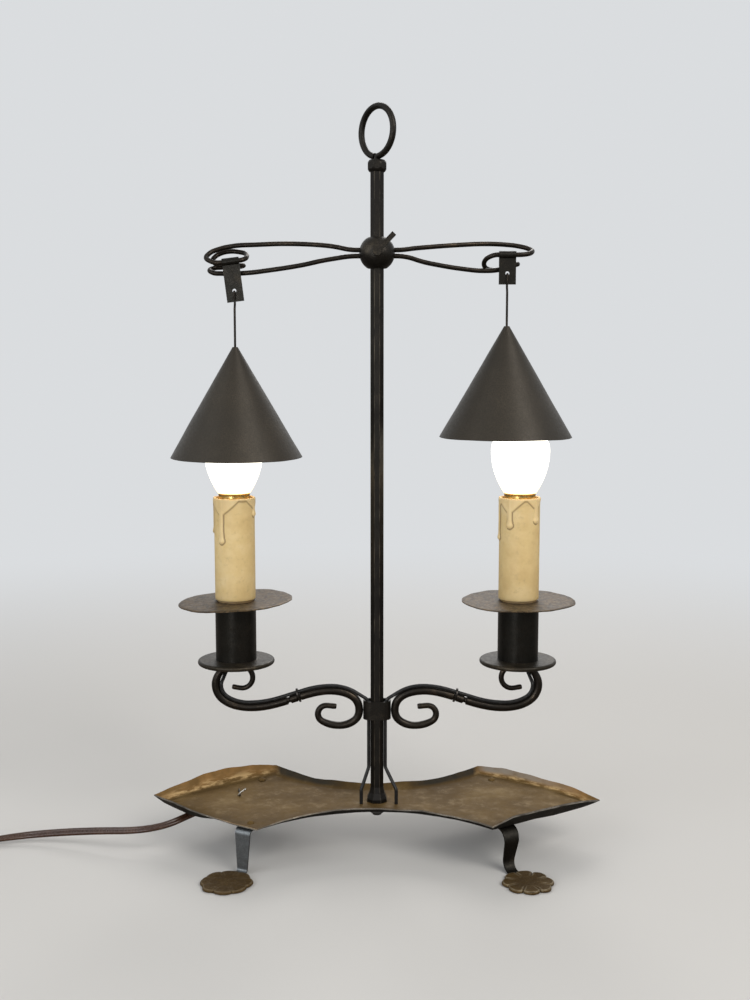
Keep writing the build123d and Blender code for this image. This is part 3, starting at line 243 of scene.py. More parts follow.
def lift(stations, share):
    """How far an edge lies above its true height, in mm, at a share of the tray's length."""
    for (start, low), (end, high) in zip(stations, stations[1:]):
        if share <= end:
            return low + (high - low) * (share - start) / (end - start)
    return stations[-1][1]


def ripple(spot, *waves):
    """How far a beaten surface lies off its true place, from waves of (length, height)."""
    return sum(noise.noise(spot / length) * height for length, height in waves)


bpy.ops.object.select_all(action="DESELECT")
bpy.ops.mesh.primitive_grid_add(x_subdivisions=TRAY_GRID[0], y_subdivisions=TRAY_GRID[1], size=2)
tray = bpy.context.object
tray.name = "tray_sheet"
for key in ("share_x", "share_y", "rim"):
    tray.data.attributes.new(key, "FLOAT", "POINT")
for i, v in enumerate(tray.data.vertices):
    tray.data.attributes["share_x"].data[i].value = v.co.x
    tray.data.attributes["share_y"].data[i].value = v.co.y
    edge, _ = tray_place(abs(v.co.x), math.copysign(1, v.co.x))
    v.co = (edge.x * MM, edge.y * v.co.y * MM, TRAY_FLOOR * MM)
bpy.ops.object.mode_set(mode="EDIT")
bpy.ops.mesh.select_all(action="SELECT")
bpy.ops.mesh.remove_doubles(threshold=TRAY_WELD * MM)
bpy.ops.mesh.select_mode(type="EDGE")
bpy.ops.mesh.select_all(action="DESELECT")
bpy.ops.mesh.select_non_manifold(
    extend=False, use_wire=False, use_multi_face=False, use_non_contiguous=False
)
for out_share, up_share in TRAY_BENDS:
    bpy.ops.mesh.extrude_region_move()
    bpy.ops.object.mode_set(mode="OBJECT")
    share_x, share_y, rim = (tray.data.attributes[k].data for k in ("share_x", "share_y", "rim"))
    for i, v in enumerate(tray.data.vertices):
        if v.select:
            low, high = tray_place(abs(share_x[i].value), math.copysign(1, share_x[i].value))
            spot = low.lerp(high, out_share)
            tip_end = abs(share_x[i].value) > 0.999
            y = 0 if tip_end else spot.y * math.copysign(1, share_y[i].value)
            v.co = (spot.x * MM, y * MM, (TRAY_FLOOR + (TRAY_RIM - TRAY_FLOOR) * up_share) * MM)
            rim[i].value = up_share
    bpy.ops.object.mode_set(mode="EDIT")
bpy.ops.mesh.select_all(action="SELECT")
bpy.ops.mesh.normals_make_consistent(inside=False)
bpy.ops.object.mode_set(mode="OBJECT")
if tray.data.polygons[0].normal.z < 0:
    tray.data.flip_normals()
share_x, share_y, rim = (tray.data.attributes[k].data for k in ("share_x", "share_y", "rim"))
for i, v in enumerate(tray.data.vertices):
    spot = v.co / MM
    length, width, up = share_x[i].value, share_y[i].value, rim[i].value
    edge = BACK if width > 0 else FRONT
    near_fixing = min(Vector((spot.x, spot.y)).length, FIXING_REACH) / FIXING_REACH
    dish = (ripple(spot, *DISH_WAVES) - DISH_SAG) * near_fixing
    dish += lift(FOLD_LIFT[edge], length) * max(abs(width) ** 3, (abs(length) - 0.9) * 10)
    beaten = ripple(spot + RIM_WAVE_SHIFT, RIM_WAVE) + ripple(spot, RIM_RIPPLE)
    outward = Vector((spot.x / TRAY_TIP, spot.y / TRAY_CORNER.y, 0)).normalized()
    rim_lift = lift(RIM_LIFT[edge], length) + beaten * RIM_UP_SHARE
    v.co.z += (dish * (1 - up) + rim_lift * up) * MM
    v.co += outward * (up * beaten * RIM_OUT_SHARE * MM)
    if length < 0 and edge == FRONT:
        pulled = max(0, 1 - abs(length + CORNER_SHARE) / CORNER_SPAN_SHARE)
        v.co.x -= CORNER_PULL * pulled * abs(width) * MM


def ramp(tree, factor, *stops):
    """A colour ramp through (place, colour) stops."""
    new = put(tree, "ValToRGB", Fac=factor)
    elements = new.color_ramp.elements
    while len(elements) < len(stops):
        elements.new(0.5)
    for element, (spot, colour) in zip(elements, stops):
        element.position = spot
        element.color = (*colour, 1)
    return new.outputs["Color"]


def mix(tree, factor, low, high):
    """Two colours mixed by a factor."""
    new = put(tree, "Mix", {"data_type": "RGBA"})
    for socket, value in zip((new.inputs[0], new.inputs[6], new.inputs[7]), (factor, low, high)):
        if isinstance(value, bpy.types.NodeSocket):
            tree.links.new(value, socket)
        else:
            socket.default_value = (*value, 1) if isinstance(value, tuple) else value
    return new.outputs[2]


def spread(tree, value, low, high, to_low, to_high):
    """A value taken from one range to another."""
    new = put(tree, "MapRange", Value=value)
    for key, number in zip(("From Min", "From Max", "To Min", "To Max"), (low, high, to_low, to_high)):
        new.inputs[key].default_value = number
    return new.outputs["Result"]


def cloudy(tree, place, size, detail, rough=0.5):
    """A soft noise with patches of about this size."""
    new = put(tree, "TexNoise", Vector=place, Scale=1 / (size * MM), Detail=detail, Roughness=rough)
    return new.outputs["Fac"]


def beaten_iron(
    name, dark, brown, bare, rough, mark, depth, metallic=0.75, scuffs=0.0, shine=0.5, fleck=1.0, patch=2.6
):
    """Blackened iron: hammer marks, a brown bloom, and bare patches where hands have rubbed it."""
    material, tree, shader = bare_material(name)
    place = put(tree, "TexCoord").outputs["Object"]
    bloom = cloudy(tree, place, mark * 3.6, 6.0, 0.62)
    marks = put(
        tree, "TexVoronoi", {"feature": "SMOOTH_F1"}, Vector=place, Scale=1 / (mark * MM), Smoothness=0.8
    )
    grain = cloudy(tree, place, 0.9, 5.0, 0.7)
    scale = cloudy(tree, place, patch, 8.0, 0.75)
    tint = ramp(tree, bloom, (0.36, dark), (0.58, brown), (0.74, bare))
    flecks = spread(tree, grain, 0.35, 0.75, 1 - fleck, 1.0)
    colour = mix(tree, flecks, tuple(c * 0.72 for c in dark), tint)
    if scuffs:
        rubbed = spread(tree, scale, 0.54, 0.68, 0.0, scuffs)
        colour = mix(tree, rubbed, colour, bare)
    tree.links.new(colour, shader.inputs["Base Color"])
    polish = spread(tree, scale, 0.3, 0.7, rough + 0.13, rough - 0.12)
    tree.links.new(polish, shader.inputs["Roughness"])
    shader.inputs["Metallic"].default_value = metallic
    shader.inputs["Specular IOR Level"].default_value = shine
    blows = put(tree, "Bump", Height=marks.outputs["Distance"], Strength=0.55, Distance=depth * MM)
    pits = put(tree, "Bump", Height=grain, Strength=0.35, Distance=0.12 * MM)
    tree.links.new(blows.outputs["Normal"], pits.inputs["Normal"])
    tree.links.new(pits.outputs["Normal"], shader.inputs["Normal"])
    return material, tree, shader, colour


def times(tree, *factors):
    """Several factors multiplied together."""
    product = factors[0]
    for factor in factors[1:]:
        new = put(tree, "Math", {"operation": "MULTIPLY"})
        tree.links.new(product, new.inputs[0])
        tree.links.new(factor, new.inputs[1])
        product = new.outputs[0]
    return product


GRIME, WAIST_BLACK, COPPER_AND_SHEEN = (0.052, 0.032, 0.012), (0.030, 0.026, 0.019), (0.27, 0.150, 0.052)
GLINT, BARE_IRON, BRIGHT_LIP = (0.58, 0.40, 0.19), (0.27, 0.24, 0.20), (0.34, 0.31, 0.265)
WAIST_START, WAIST_END = (26 * MM, 44 * MM), (88 * MM, 98 * MM)
BARE_START, BARE_END = (92 * MM, 100 * MM), (130 * MM, 180 * MM)
tray_finish, tree, shader, colour = beaten_iron(
    "tray_patina", (0.100, 0.060, 0.020), (0.156, 0.098, 0.035), (0.245, 0.168, 0.072),
    rough=0.60, mark=13, depth=0.45, metallic=0.1, scuffs=0.5, shine=0.1, fleck=0.35, patch=11,
)
place = put(tree, "TexCoord").outputs["Object"]
stretch = put(tree, "Mapping", Vector=place)
stretch.inputs["Scale"].default_value = (0.35, 0.35, 1.6)
patchy = cloudy(tree, place, 16, 5.0)
streaky = cloudy(tree, stretch.outputs[0], 5, 6.0, 0.65)
lengthwise = put(tree, "SeparateXYZ", Vector=place).outputs["X"]
off_middle = put(tree, "Math", {"operation": "ABSOLUTE"})
tree.links.new(lengthwise, off_middle.inputs[0])
off_middle = off_middle.outputs[0]
up = put(tree, "Attribute", {"attribute_name": "rim"}).outputs["Fac"]
off_axis = put(tree, "Math", {"operation": "ABSOLUTE"})
across = put(tree, "Attribute", {"attribute_name": "share_y"}).outputs["Fac"]
tree.links.new(across, off_axis.inputs[0])
grime = spread(tree, off_axis.outputs[0], 0.55, 0.98, 0.0, 0.5)
grime = times(tree, grime, spread(tree, patchy, 0.3, 0.62, 0.25, 1.0))
colour = mix(tree, grime, colour, GRIME)
turned_up = spread(tree, up, 0.06, 0.45, 0.0, 1.0)
outer = spread(tree, off_middle, *WAIST_END, 0.0, 1.0)
waist = spread(tree, off_middle, *WAIST_START, 0.0, 1.0)
waist = times(tree, waist, spread(tree, off_middle, *WAIST_END, 1.0, 0.0))
waist = times(tree, turned_up, waist, spread(tree, patchy, 0.3, 0.6, 0.7, 1.0))
colour = mix(tree, waist, colour, WAIST_BLACK)
# Copper on the inside of the rim at both ends: wear, and a painted sheen of the bulbs' light.
copper_and_sheen = times(tree, turned_up, outer, spread(tree, patchy, 0.36, 0.60, 0.35, 1.0))
colour = mix(tree, copper_and_sheen, colour, COPPER_AND_SHEEN)
# A painted highlight: a glint along the rim's lower fold.
glint = times(tree, spread(tree, up, 0.06, 0.22, 0.0, 1.0), spread(tree, up, 0.35, 0.75, 1.0, 0.0))
glint = times(tree, glint, outer, spread(tree, streaky, 0.44, 0.60, 0.0, 0.85))
colour = mix(tree, glint, colour, GLINT)
bare = times(tree, spread(tree, up, 0.30, 0.6, 0.0, 1.0), spread(tree, lengthwise, *BARE_START, 0.0, 1.0))
bare = times(tree, bare, spread(tree, lengthwise, *BARE_END, 1.0, 0.0))
bare = times(tree, bare, spread(tree, patchy, 0.35, 0.55, 0.4, 0.9))
tree.links.new(mix(tree, bare, colour, BARE_IRON), shader.inputs["Base Color"])
tray_black, tree, shader, colour = beaten_iron(
    "tray_black", (0.011, 0.010, 0.008), (0.020, 0.016, 0.011), (0.060, 0.043, 0.027),
    rough=0.50, mark=9, depth=0.3, metallic=0.1, scuffs=0.1, shine=0.2,
)
up = put(tree, "Attribute", {"attribute_name": "rim"}).outputs["Fac"]
place = put(tree, "TexCoord").outputs["Object"]
patchy = cloudy(tree, place, 9, 5.0)
lip = times(tree, spread(tree, up, 0.86, 0.93, 0.0, 1.0), spread(tree, patchy, 0.38, 0.6, 0.25, 1.0))
tree.links.new(mix(tree, lip, colour, BRIGHT_LIP), shader.inputs["Base Color"])
rubbed_edge, *_ = beaten_iron(
    "rubbed_edge", (0.10, 0.085, 0.066), (0.26, 0.22, 0.175), (0.42, 0.37, 0.30),
    rough=0.4, mark=5, depth=0.2, metallic=0.8, scuffs=0.3,
)
for finish in (tray_finish, tray_black, rubbed_edge):
    tray.data.materials.append(finish)
thick = tray.modifiers.new("sheet", "SOLIDIFY")
thick.thickness = TRAY_SHEET * MM
thick.offset = -1
thick.material_offset, thick.material_offset_rim = 1, 2
bpy.ops.object.modifier_apply(modifier="sheet")
bpy.ops.object.shade_smooth_by_angle(angle=math.radians(TRAY_CREASE))
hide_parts("base_tray")
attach(tray, "stand")

# Feet: flat straps, riveted under the tray, that curve down and out and are beaten flat to a rosette
# on the table. The petals are chased with a round-nosed punch and each one is a little uneven.
PADS = {"front_left": (-1, -1), "front_right": (1, -1), "back_left": (-1, 1), "back_right": (1, 1)}
PAD_X, PAD_Y, PAD_PETALS = 120.5, 86.0, 8
PAD_RINGS = (
    (0.008, 0.05), (20.5, 0.05), (21.0, 0.35), (21.05, 1.5), (20.7, 2.15), (20.1, 2.5), (19.2, 2.62),
    (17.6, 2.66), (15.8, 2.66), (14.0, 2.64), (12.0, 2.6), (10.0, 2.56), (8.0, 2.52), (6.0, 2.5),
    (4.0, 2.5), (0.6, 2.5),
)
PAD_SIDES, PAD_CREASE, PAD_RIM, PAD_MIDDLE = 208, 50, 20.7, 0.3
PAD_FACE, PAD_WORN_LIT_FACE, PAD_WORN_LIT_AT, PAD_WORN_LIT_WIDE = 1.0, 2.0, 20.2, 0.9
PAD_UNEVEN, PAD_WAVE = 0.05, (4, 0.16)
CHASED_FROM, CHASED_RUN, CHASED_DEPTH, CHASED_HALF = 9.5, 4, 0.9, 0.62
BURR_RISE, BURR_OFF, BURR_HALF = 0.2, 1.25, 0.6
PAD_HIGHLIGHT = (0.34, 0.285, 0.195)
STRAP_REACH_X, STRAP_REACH_Y = 16.5, 34.0
PETAL_NOTCH = {"front_left": 0.11, "front_right": 0.21, "back_left": 0.17, "back_right": 0.13}
PETAL_LINE = {"front_left": 0.12, "front_right": 0.6, "back_left": 0.5, "back_right": 0.35}


def dress(material, *names):
    """Give CAD nodes that keep their shape a finish."""
    for name in names:
        for material_slot in nodes[name].material_slots:
            material_slot.material = material


def turned(name, x, y, rings, sides=96, close_top=True, weld=0.02):
    """A piece turned about an upright axis, drawn up ring by ring from (radius, height)."""
    bpy.ops.object.select_all(action="DESELECT")
    radius, height = rings[0]
    spot = Vector((x, y, height)) * MM
    bpy.ops.mesh.primitive_circle_add(vertices=sides, radius=radius * MM, location=spot)
    piece = bpy.context.object
    piece.name = name
    bpy.ops.object.transform_apply(location=True)
    bpy.ops.object.mode_set(mode="EDIT")
    bpy.ops.mesh.select_mode(type="VERT")
    bpy.ops.mesh.select_all(action="SELECT")
    for new_radius, new_height in rings[1:]:
        rise = (0, 0, (new_height - height) * MM)
        bpy.ops.mesh.extrude_region_move(TRANSFORM_OT_translate={"value": rise})
        grow = new_radius / radius
        spot = Vector((x, y, new_height)) * MM
        bpy.ops.transform.resize(value=(grow, grow, 1), center_override=spot)
        radius, height = new_radius, new_height
    if close_top:
        bpy.ops.mesh.merge(type="CENTER")
    bpy.ops.mesh.select_all(action="SELECT")
    bpy.ops.mesh.remove_doubles(threshold=weld * MM)
    bpy.ops.mesh.normals_make_consistent(inside=False)
    bpy.ops.object.mode_set(mode="OBJECT")
    return piece


foot_iron, *_ = beaten_iron(
    "foot_iron", (0.013, 0.012, 0.009), (0.030, 0.024, 0.017), (0.15, 0.125, 0.09),
    rough=0.40, mark=6, depth=0.35, metallic=0.8, scuffs=0.2,
)
pad_iron, tree, shader, colour = beaten_iron(
    "pad_iron", (0.072, 0.043, 0.015), (0.128, 0.080, 0.029), (0.20, 0.132, 0.054),
    rough=0.55, mark=5, depth=0.3, metallic=0.2, scuffs=0.45, shine=0.12,
)
# The pads are painted lighter where raised edges catch the light: a painted highlight on the burr beside
# each chased line, and a ring round the top of the rim that is worn and painted lit.
edge = put(tree, "Attribute", {"attribute_name": "edge"}).outputs["Fac"]
place = put(tree, "TexCoord").outputs["Object"]
lit = times(tree, edge, spread(tree, cloudy(tree, place, 3, 4.0), 0.3, 0.6, 0.25, 0.9))
tree.links.new(mix(tree, lit, colour, PAD_HIGHLIGHT), shader.inputs["Base Color"])
for corner, (cx, cy) in PADS.items():
    pad = turned("pad_" + corner, cx * PAD_X, cy * PAD_Y, PAD_RINGS, PAD_SIDES)
    edge_highlight = pad.data.attributes.new("edge", "FLOAT", "POINT").data
    seed = Vector((cx * 3.1, cy * 5.3, 0))
    middle = Vector((cx * PAD_X, cy * PAD_Y))
    facing = math.atan2(cy * STRAP_REACH_Y, cx * STRAP_REACH_X)
    for i, v in enumerate(pad.data.vertices):
        flat = Vector((v.co.x / MM, v.co.y / MM)) - middle
        reach = flat.length
        if reach < PAD_MIDDLE:
            continue
        angle = math.atan2(flat.y, flat.x) - facing - math.pi / PAD_PETALS
        petal = abs(math.cos(angle * PAD_PETALS / 2))
        rim = min(reach / PAD_RIM, 1.0)
        uneven = noise.noise(Vector((math.cos(angle), math.sin(angle), 0)) * 1.9 + seed) * PAD_UNEVEN
        share = 1 - (1 - petal**0.5) * PETAL_NOTCH[corner] * rim**4 + max(uneven, -0.01) * rim
        flat *= share
        v.co.x, v.co.y = (middle.x + flat.x) * MM, (middle.y + flat.y) * MM
        if v.co.z > PAD_FACE * MM:
            off_line = 2 / PAD_PETALS * math.asin(min(petal, 1.0)) * reach
            chased = min(max((reach - CHASED_FROM) / CHASED_RUN, 0), 1)
            line = math.exp(-((off_line / CHASED_HALF) ** 2)) * chased
            burr = math.exp(-(((off_line - BURR_OFF) / BURR_HALF) ** 2)) * chased
            wave = noise.noise(Vector((flat.x, flat.y, 0)) / PAD_WAVE[0] + seed) * PAD_WAVE[1]
            cut_in = PETAL_LINE[corner]
            v.co.z += (wave + BURR_RISE * cut_in * burr - CHASED_DEPTH * cut_in * line) * MM
            on_top = v.co.z > PAD_WORN_LIT_FACE * MM
            # Painted highlight on the rim's top ring, which is also worn, and on the burr beside each
            # chased line.
            wear_and_highlight = max(0, 1 - abs(reach - PAD_WORN_LIT_AT) / PAD_WORN_LIT_WIDE) if on_top else 0
            edge_highlight[i].value = max(wear_and_highlight * min(1, 0.25 + cut_in), cut_in * burr)
    bpy.ops.object.shade_smooth_by_angle(angle=math.radians(PAD_CREASE))
    pad.data.materials.append(pad_iron)
    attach(pad, "stand")
dress(foot_iron, *("foot_" + corner for corner in PADS))
dress(tray_finish, "foot_rivets")
# The front-left strap takes a lighter, bluish copy of the foot's iron: a painted reflection that makes its
# face bright.
strap_painted_sheen, *_ = beaten_iron(
    "strap_painted_sheen", (0.17, 0.18, 0.185), (0.25, 0.265, 0.27), (0.40, 0.42, 0.42),
    rough=0.40, mark=4, depth=0.25, metallic=0.85, scuffs=0.3,
)
dress(strap_painted_sheen, "foot_front_left")

# Stem and carrying eye: an octagonal bar, upset at the foot and tenoned through the tray, with a barrel
# knob and an eye bent from round rod on top. Black from the forge, with brown painted along the arrises,
# as wear and as the bright line of a highlight on each edge.
STEM_TONES = (0.017, 0.015, 0.013), (0.035, 0.030, 0.023), (0.11, 0.088, 0.060)
STEM_FINISH = {"rough": 0.40, "mark": 9, "depth": 0.45, "metallic": 0.8, "scuffs": 0.12}
STEM_SIDES, ARRIS_WEAR_AND_HIGHLIGHT = 8, (0.22, 0.185, 0.135)
stem_iron, *_ = beaten_iron("stem_iron", *STEM_TONES, **STEM_FINISH)
dress(stem_iron, "ring_collar", "carry_ring", "arm_collar")
bar_iron, tree, shader, colour = beaten_iron("bar_iron", *STEM_TONES, **STEM_FINISH)
place = put(tree, "TexCoord").outputs["Object"]
rubbed = cloudy(tree, place, 16, 6.0, 0.65)
spot = put(tree, "SeparateXYZ", Vector=place)
around = put(tree, "Math", {"operation": "ARCTAN2"})
tree.links.new(spot.outputs["Y"], around.inputs[0])
tree.links.new(spot.outputs["X"], around.inputs[1])
to_arris = (("MULTIPLY", STEM_SIDES / math.tau), ("FRACT", 0), ("SUBTRACT", 0.5), ("ABSOLUTE", 0))
for operation, number in to_arris:
    new = put(tree, "Math", {"operation": operation})
    tree.links.new(around.outputs[0], new.inputs[0])
    new.inputs[1].default_value = number
    around = new
# Brown along each arris: wear, and the bright line of a painted highlight.
arris = spread(tree, around.outputs[0], 0.01, 0.07, 1.0, 0.0)
wear_and_highlight = times(tree, arris, spread(tree, rubbed, 0.42, 0.66, 0.0, 0.75))
tree.links.new(mix(tree, wear_and_highlight, colour, ARRIS_WEAR_AND_HIGHLIGHT), shader.inputs["Base Color"])
dress(bar_iron, "stem")
nut_steel, *_ = beaten_iron(
    "nut_steel", (0.10, 0.095, 0.09), (0.17, 0.16, 0.15), (0.28, 0.27, 0.26),
    rough=0.45, mark=4, depth=0.15, metallic=0.9,
)
dress(nut_steel, "stem_washer", "stem_nut", "socket_bracket_left", "socket_bracket_right")

# Arms: round rod drawn down at both ends and bent to an S, with a bead between two grooves at mid-arm.
# Each is held to the stem by the band, and a turn of wire in the inner groove ties the lamp wire to it.
arm_iron, *_ = beaten_iron(
    "arm_iron", (0.017, 0.014, 0.011), (0.038, 0.028, 0.019), (0.13, 0.092, 0.058),
    rough=0.36, mark=5, depth=0.35, metallic=0.8, scuffs=0.18,
)
dress(arm_iron, "arm_left", "arm_right", "cup_rivets")
tie_wire, *_ = beaten_iron(
    "tie_wire", (0.05, 0.045, 0.04), (0.10, 0.09, 0.08), (0.30, 0.27, 0.24),
    rough=0.35, mark=2, depth=0.1, metallic=0.9,
)
dress(tie_wire, "arm_tie_left", "arm_tie_right")

# Candle cups: a thick disc and a rolled cup riveted to the arm, under a wide pan beaten from thin sheet.
# The pans are pitted and brown, with an edge that runs out of true, and the left one is bent up on its
# right.
CUP_X, PAN_LOW, PAN_SHEET, PAN_RADIUS, PAN_HOLE = 120.0, 212.374, 1.2, 48.0, 13.0
PAN_STEPS, PAN_ROUND, PAN_SIDES, PAN_CREASE = (18.5, 24, 30, 36, 41, 45, 47.4), 0.35, 128, 40
PAN_BEND = {"left": 2.6, "right": 0.0}
PAN_FIRM, PAN_LOOSE, PAN_WAVES = 20, 28, ((30, 1.1), (8, 0.25))
PAN_RAGGED_SHARE, PAN_RAGGED_WAVE = 0.012, 12
PAN_CRACK = (0.026, 0.018, 0.010)
cup_iron, *_ = beaten_iron(
    "cup_iron", (0.014, 0.013, 0.010), (0.029, 0.024, 0.018), (0.095, 0.074, 0.050),
    rough=0.34, mark=7, depth=0.2, metallic=0.75, scuffs=0.1,
)
dress(cup_iron, "cup_left", "cup_right")
plate_iron, *_ = beaten_iron(
    "plate_iron", (0.020, 0.016, 0.010), (0.050, 0.037, 0.022), (0.13, 0.098, 0.058),
    rough=0.44, mark=6, depth=0.3, metallic=0.5, scuffs=0.3, shine=0.35,
)
dress(plate_iron, "cup_plate_left", "cup_plate_right")
pan_iron, tree, shader, colour = beaten_iron(
    "pan_iron", (0.085, 0.054, 0.024), (0.155, 0.102, 0.050), (0.27, 0.188, 0.098),
    rough=0.50, mark=7, depth=0.4, metallic=0.25, scuffs=0.45, shine=0.3,
)
place = put(tree, "TexCoord").outputs["Object"]
bend = put(tree, "TexNoise", Vector=place, Scale=1 / (5 * MM), Detail=3.0)
shift = put(tree, "MixRGB", {"blend_type": "ADD"}, Fac=0.006, Color1=place, Color2=bend.outputs["Color"])
crack = put(
    tree, "TexVoronoi", {"feature": "DISTANCE_TO_EDGE"}, Vector=shift.outputs[0], Scale=1 / (9 * MM)
)
crack = spread(tree, crack.outputs["Distance"], 0.01, 0.13, 0.85, 0.0)
tree.links.new(mix(tree, crack, colour, PAN_CRACK), shader.inputs["Base Color"])
for side, sign in SIDES.items():
    top = PAN_LOW + PAN_SHEET
    rings = [(PAN_HOLE, top), *((radius, top) for radius in PAN_STEPS)]
    rings += [(PAN_RADIUS, top - PAN_ROUND), (PAN_RADIUS, PAN_LOW + PAN_ROUND)]
    rings += [(radius, PAN_LOW) for radius in reversed(PAN_STEPS[1:])]
    rings += [(PAN_HOLE, PAN_LOW), (PAN_HOLE, top)]
    pan = turned("pan_" + side, sign * CUP_X, 0, rings, PAN_SIDES, close_top=False)
    for v in pan.data.vertices:
        spot = v.co / MM - Vector((sign * CUP_X, 0, 0))
        reach = Vector((spot.x, spot.y)).length
        loose = max(0, (reach - PAN_FIRM) / PAN_LOOSE)
        warp = ripple(Vector((spot.x, spot.y, sign * 40)), *PAN_WAVES)
        v.co.z += loose * (warp + PAN_BEND[side] * spot.x / reach) * MM
        tooth = noise.noise(Vector((spot.x, spot.y, sign * 9)) / PAN_RAGGED_WAVE)
        ragged = 1 + loose**3 * PAN_RAGGED_SHARE * tooth
        v.co.x = sign * CUP_X * MM + spot.x * ragged * MM
        v.co.y = spot.y * ragged * MM
    bpy.ops.object.shade_smooth_by_angle(angle=math.radians(PAN_CREASE))
    pan.data.materials.append(pan_iron)
    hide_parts("drip_pan_" + side)
    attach(pan, "stand")

# Candle sleeves: ivory covers that slip over the sockets, cast with a melted rim and runs of wax. Each
# run has a bearing from the front, a length, a width, and the depth at which the film of wax above it
# narrows. The wax has yellowed unevenly. A painted shadow darkens the sleeve just below and beside each
# raised edge of wax, and the rebate round its foot.
SLEEVE_LOW, SLEEVE_TOP, SLEEVE_RADIUS, SLEEVE_BORE = 213.574, 301.574, 17.0, 15.2
WAX_RUNS = {
    "left": ((-33, 38.0, 3.8, 15.0), (-97, 31.0, 3.2, 10.0), (76, 16.0, 3.6, 10.5), (160, 26.0, 3.6, 11.0)),
    "right": (
        (-82, 36.0, 3.4, 8.0), (-36, 25.0, 4.0, 13.0), (46, 21.0, 4.4, 10.0), (118, 12.0, 3.8, 8.0),
        (-150, 22.0, 3.6, 11.0),
    ),
}
WAX_SHEET, WAX_BEAD, WAX_SLOPE, WAX_LEAST = 0.75, 1.5, 0.88, 1.6
WAX_DROP, WAX_BLUR, WAX_FALL = 2.6, 1.15, 3.2
WAX_BAND, WAX_STEP, WAX_RINGS = 42, 0.5, 82
WAX_SEED, WAX_LOOK_UP, WAX_LOOK_ROUND = 2.7, 0.9, 3.5
FOOT_REBATE, FOOT_RISE = 1.7, 1.4
SLEEVE_SIDES, SLEEVE_CREASE = 208, 60
WAX_PALE, WAX_SHADOW_COLOUR, SLEEVE_DIRT = (0.74, 0.56, 0.29), (0.19, 0.115, 0.045), (0.40, 0.28, 0.13)


def wax_depth(bearing, below, runs, seed):
    """How far the wax stands out from the sleeve at a bearing in degrees and a depth below the rim."""
    swirl = Vector((math.cos(math.radians(bearing)), math.sin(math.radians(bearing)), seed))
    hem = WAX_LEAST + 0.5 * noise.noise(swirl * 3.0)
    bead = 0
    for run_bearing, length, width, root in runs:
        apart = (bearing - run_bearing + 180) % 360 - 180
        wander = noise.noise(Vector((below / 11, run_bearing, seed))) * 0.5
        across = abs(math.radians(apart) * SLEEVE_RADIUS + wander * min(below / 8, 1))
        hem = max(hem, root + 0.35 * noise.noise(swirl * 5.0) - across * WAX_SLOPE)
        drop = math.exp(-(((length - below - width * 0.55) / WAX_DROP) ** 2))
        half = width / 2 * (1 + 0.4 * drop)
        past = max(0, below - (length - half))
        off = math.hypot(across, past) / half
        if off < WAX_BLUR:
            bead = max(bead, WAX_BEAD * (0.7 + 0.5 * drop) * math.sqrt(1 - (off / WAX_BLUR) ** 2))
    sheet = WAX_SHEET / (1 + math.exp((below - hem) * WAX_FALL))
    return max(sheet, bead)


ivory, tree, shader = bare_material("aged_ivory")
place = put(tree, "TexCoord").outputs["Object"]
cloud = cloudy(tree, place, 22, 5.0, 0.6)
speck = cloudy(tree, place, 1.4, 4.0)
dirt = cloudy(tree, place, 5, 7.0, 0.7)
tint = ramp(tree, cloud, (0.32, (0.57, 0.40, 0.17)), (0.52, (0.65, 0.48, 0.22)), (0.7, (0.70, 0.54, 0.28)))
tint = mix(tree, spread(tree, dirt, 0.55, 0.75, 0.0, 0.55), tint, SLEEVE_DIRT)
wax = put(tree, "Attribute", {"attribute_name": "wax"}).outputs["Fac"]
tint = mix(tree, spread(tree, wax, 0.02, 0.35, 0.0, 0.5), tint, WAX_PALE)
painted_shadow = put(tree, "Attribute", {"attribute_name": "wax_shadow"}).outputs["Fac"]
tint = mix(tree, spread(tree, painted_shadow, 0.0, 1.0, 0.0, 0.85), tint, WAX_SHADOW_COLOUR)
tree.links.new(tint, shader.inputs["Base Color"])
tree.links.new(spread(tree, speck, 0.3, 0.7, 0.58, 0.42), shader.inputs["Roughness"])
shader.inputs["Subsurface Weight"].default_value = 0.12
shader.inputs["Subsurface Radius"].default_value = (0.006, 0.004, 0.002)
skin = put(tree, "Bump", Height=speck, Strength=0.18, Distance=0.1 * MM)
tree.links.new(skin.outputs["Normal"], shader.inputs["Normal"])
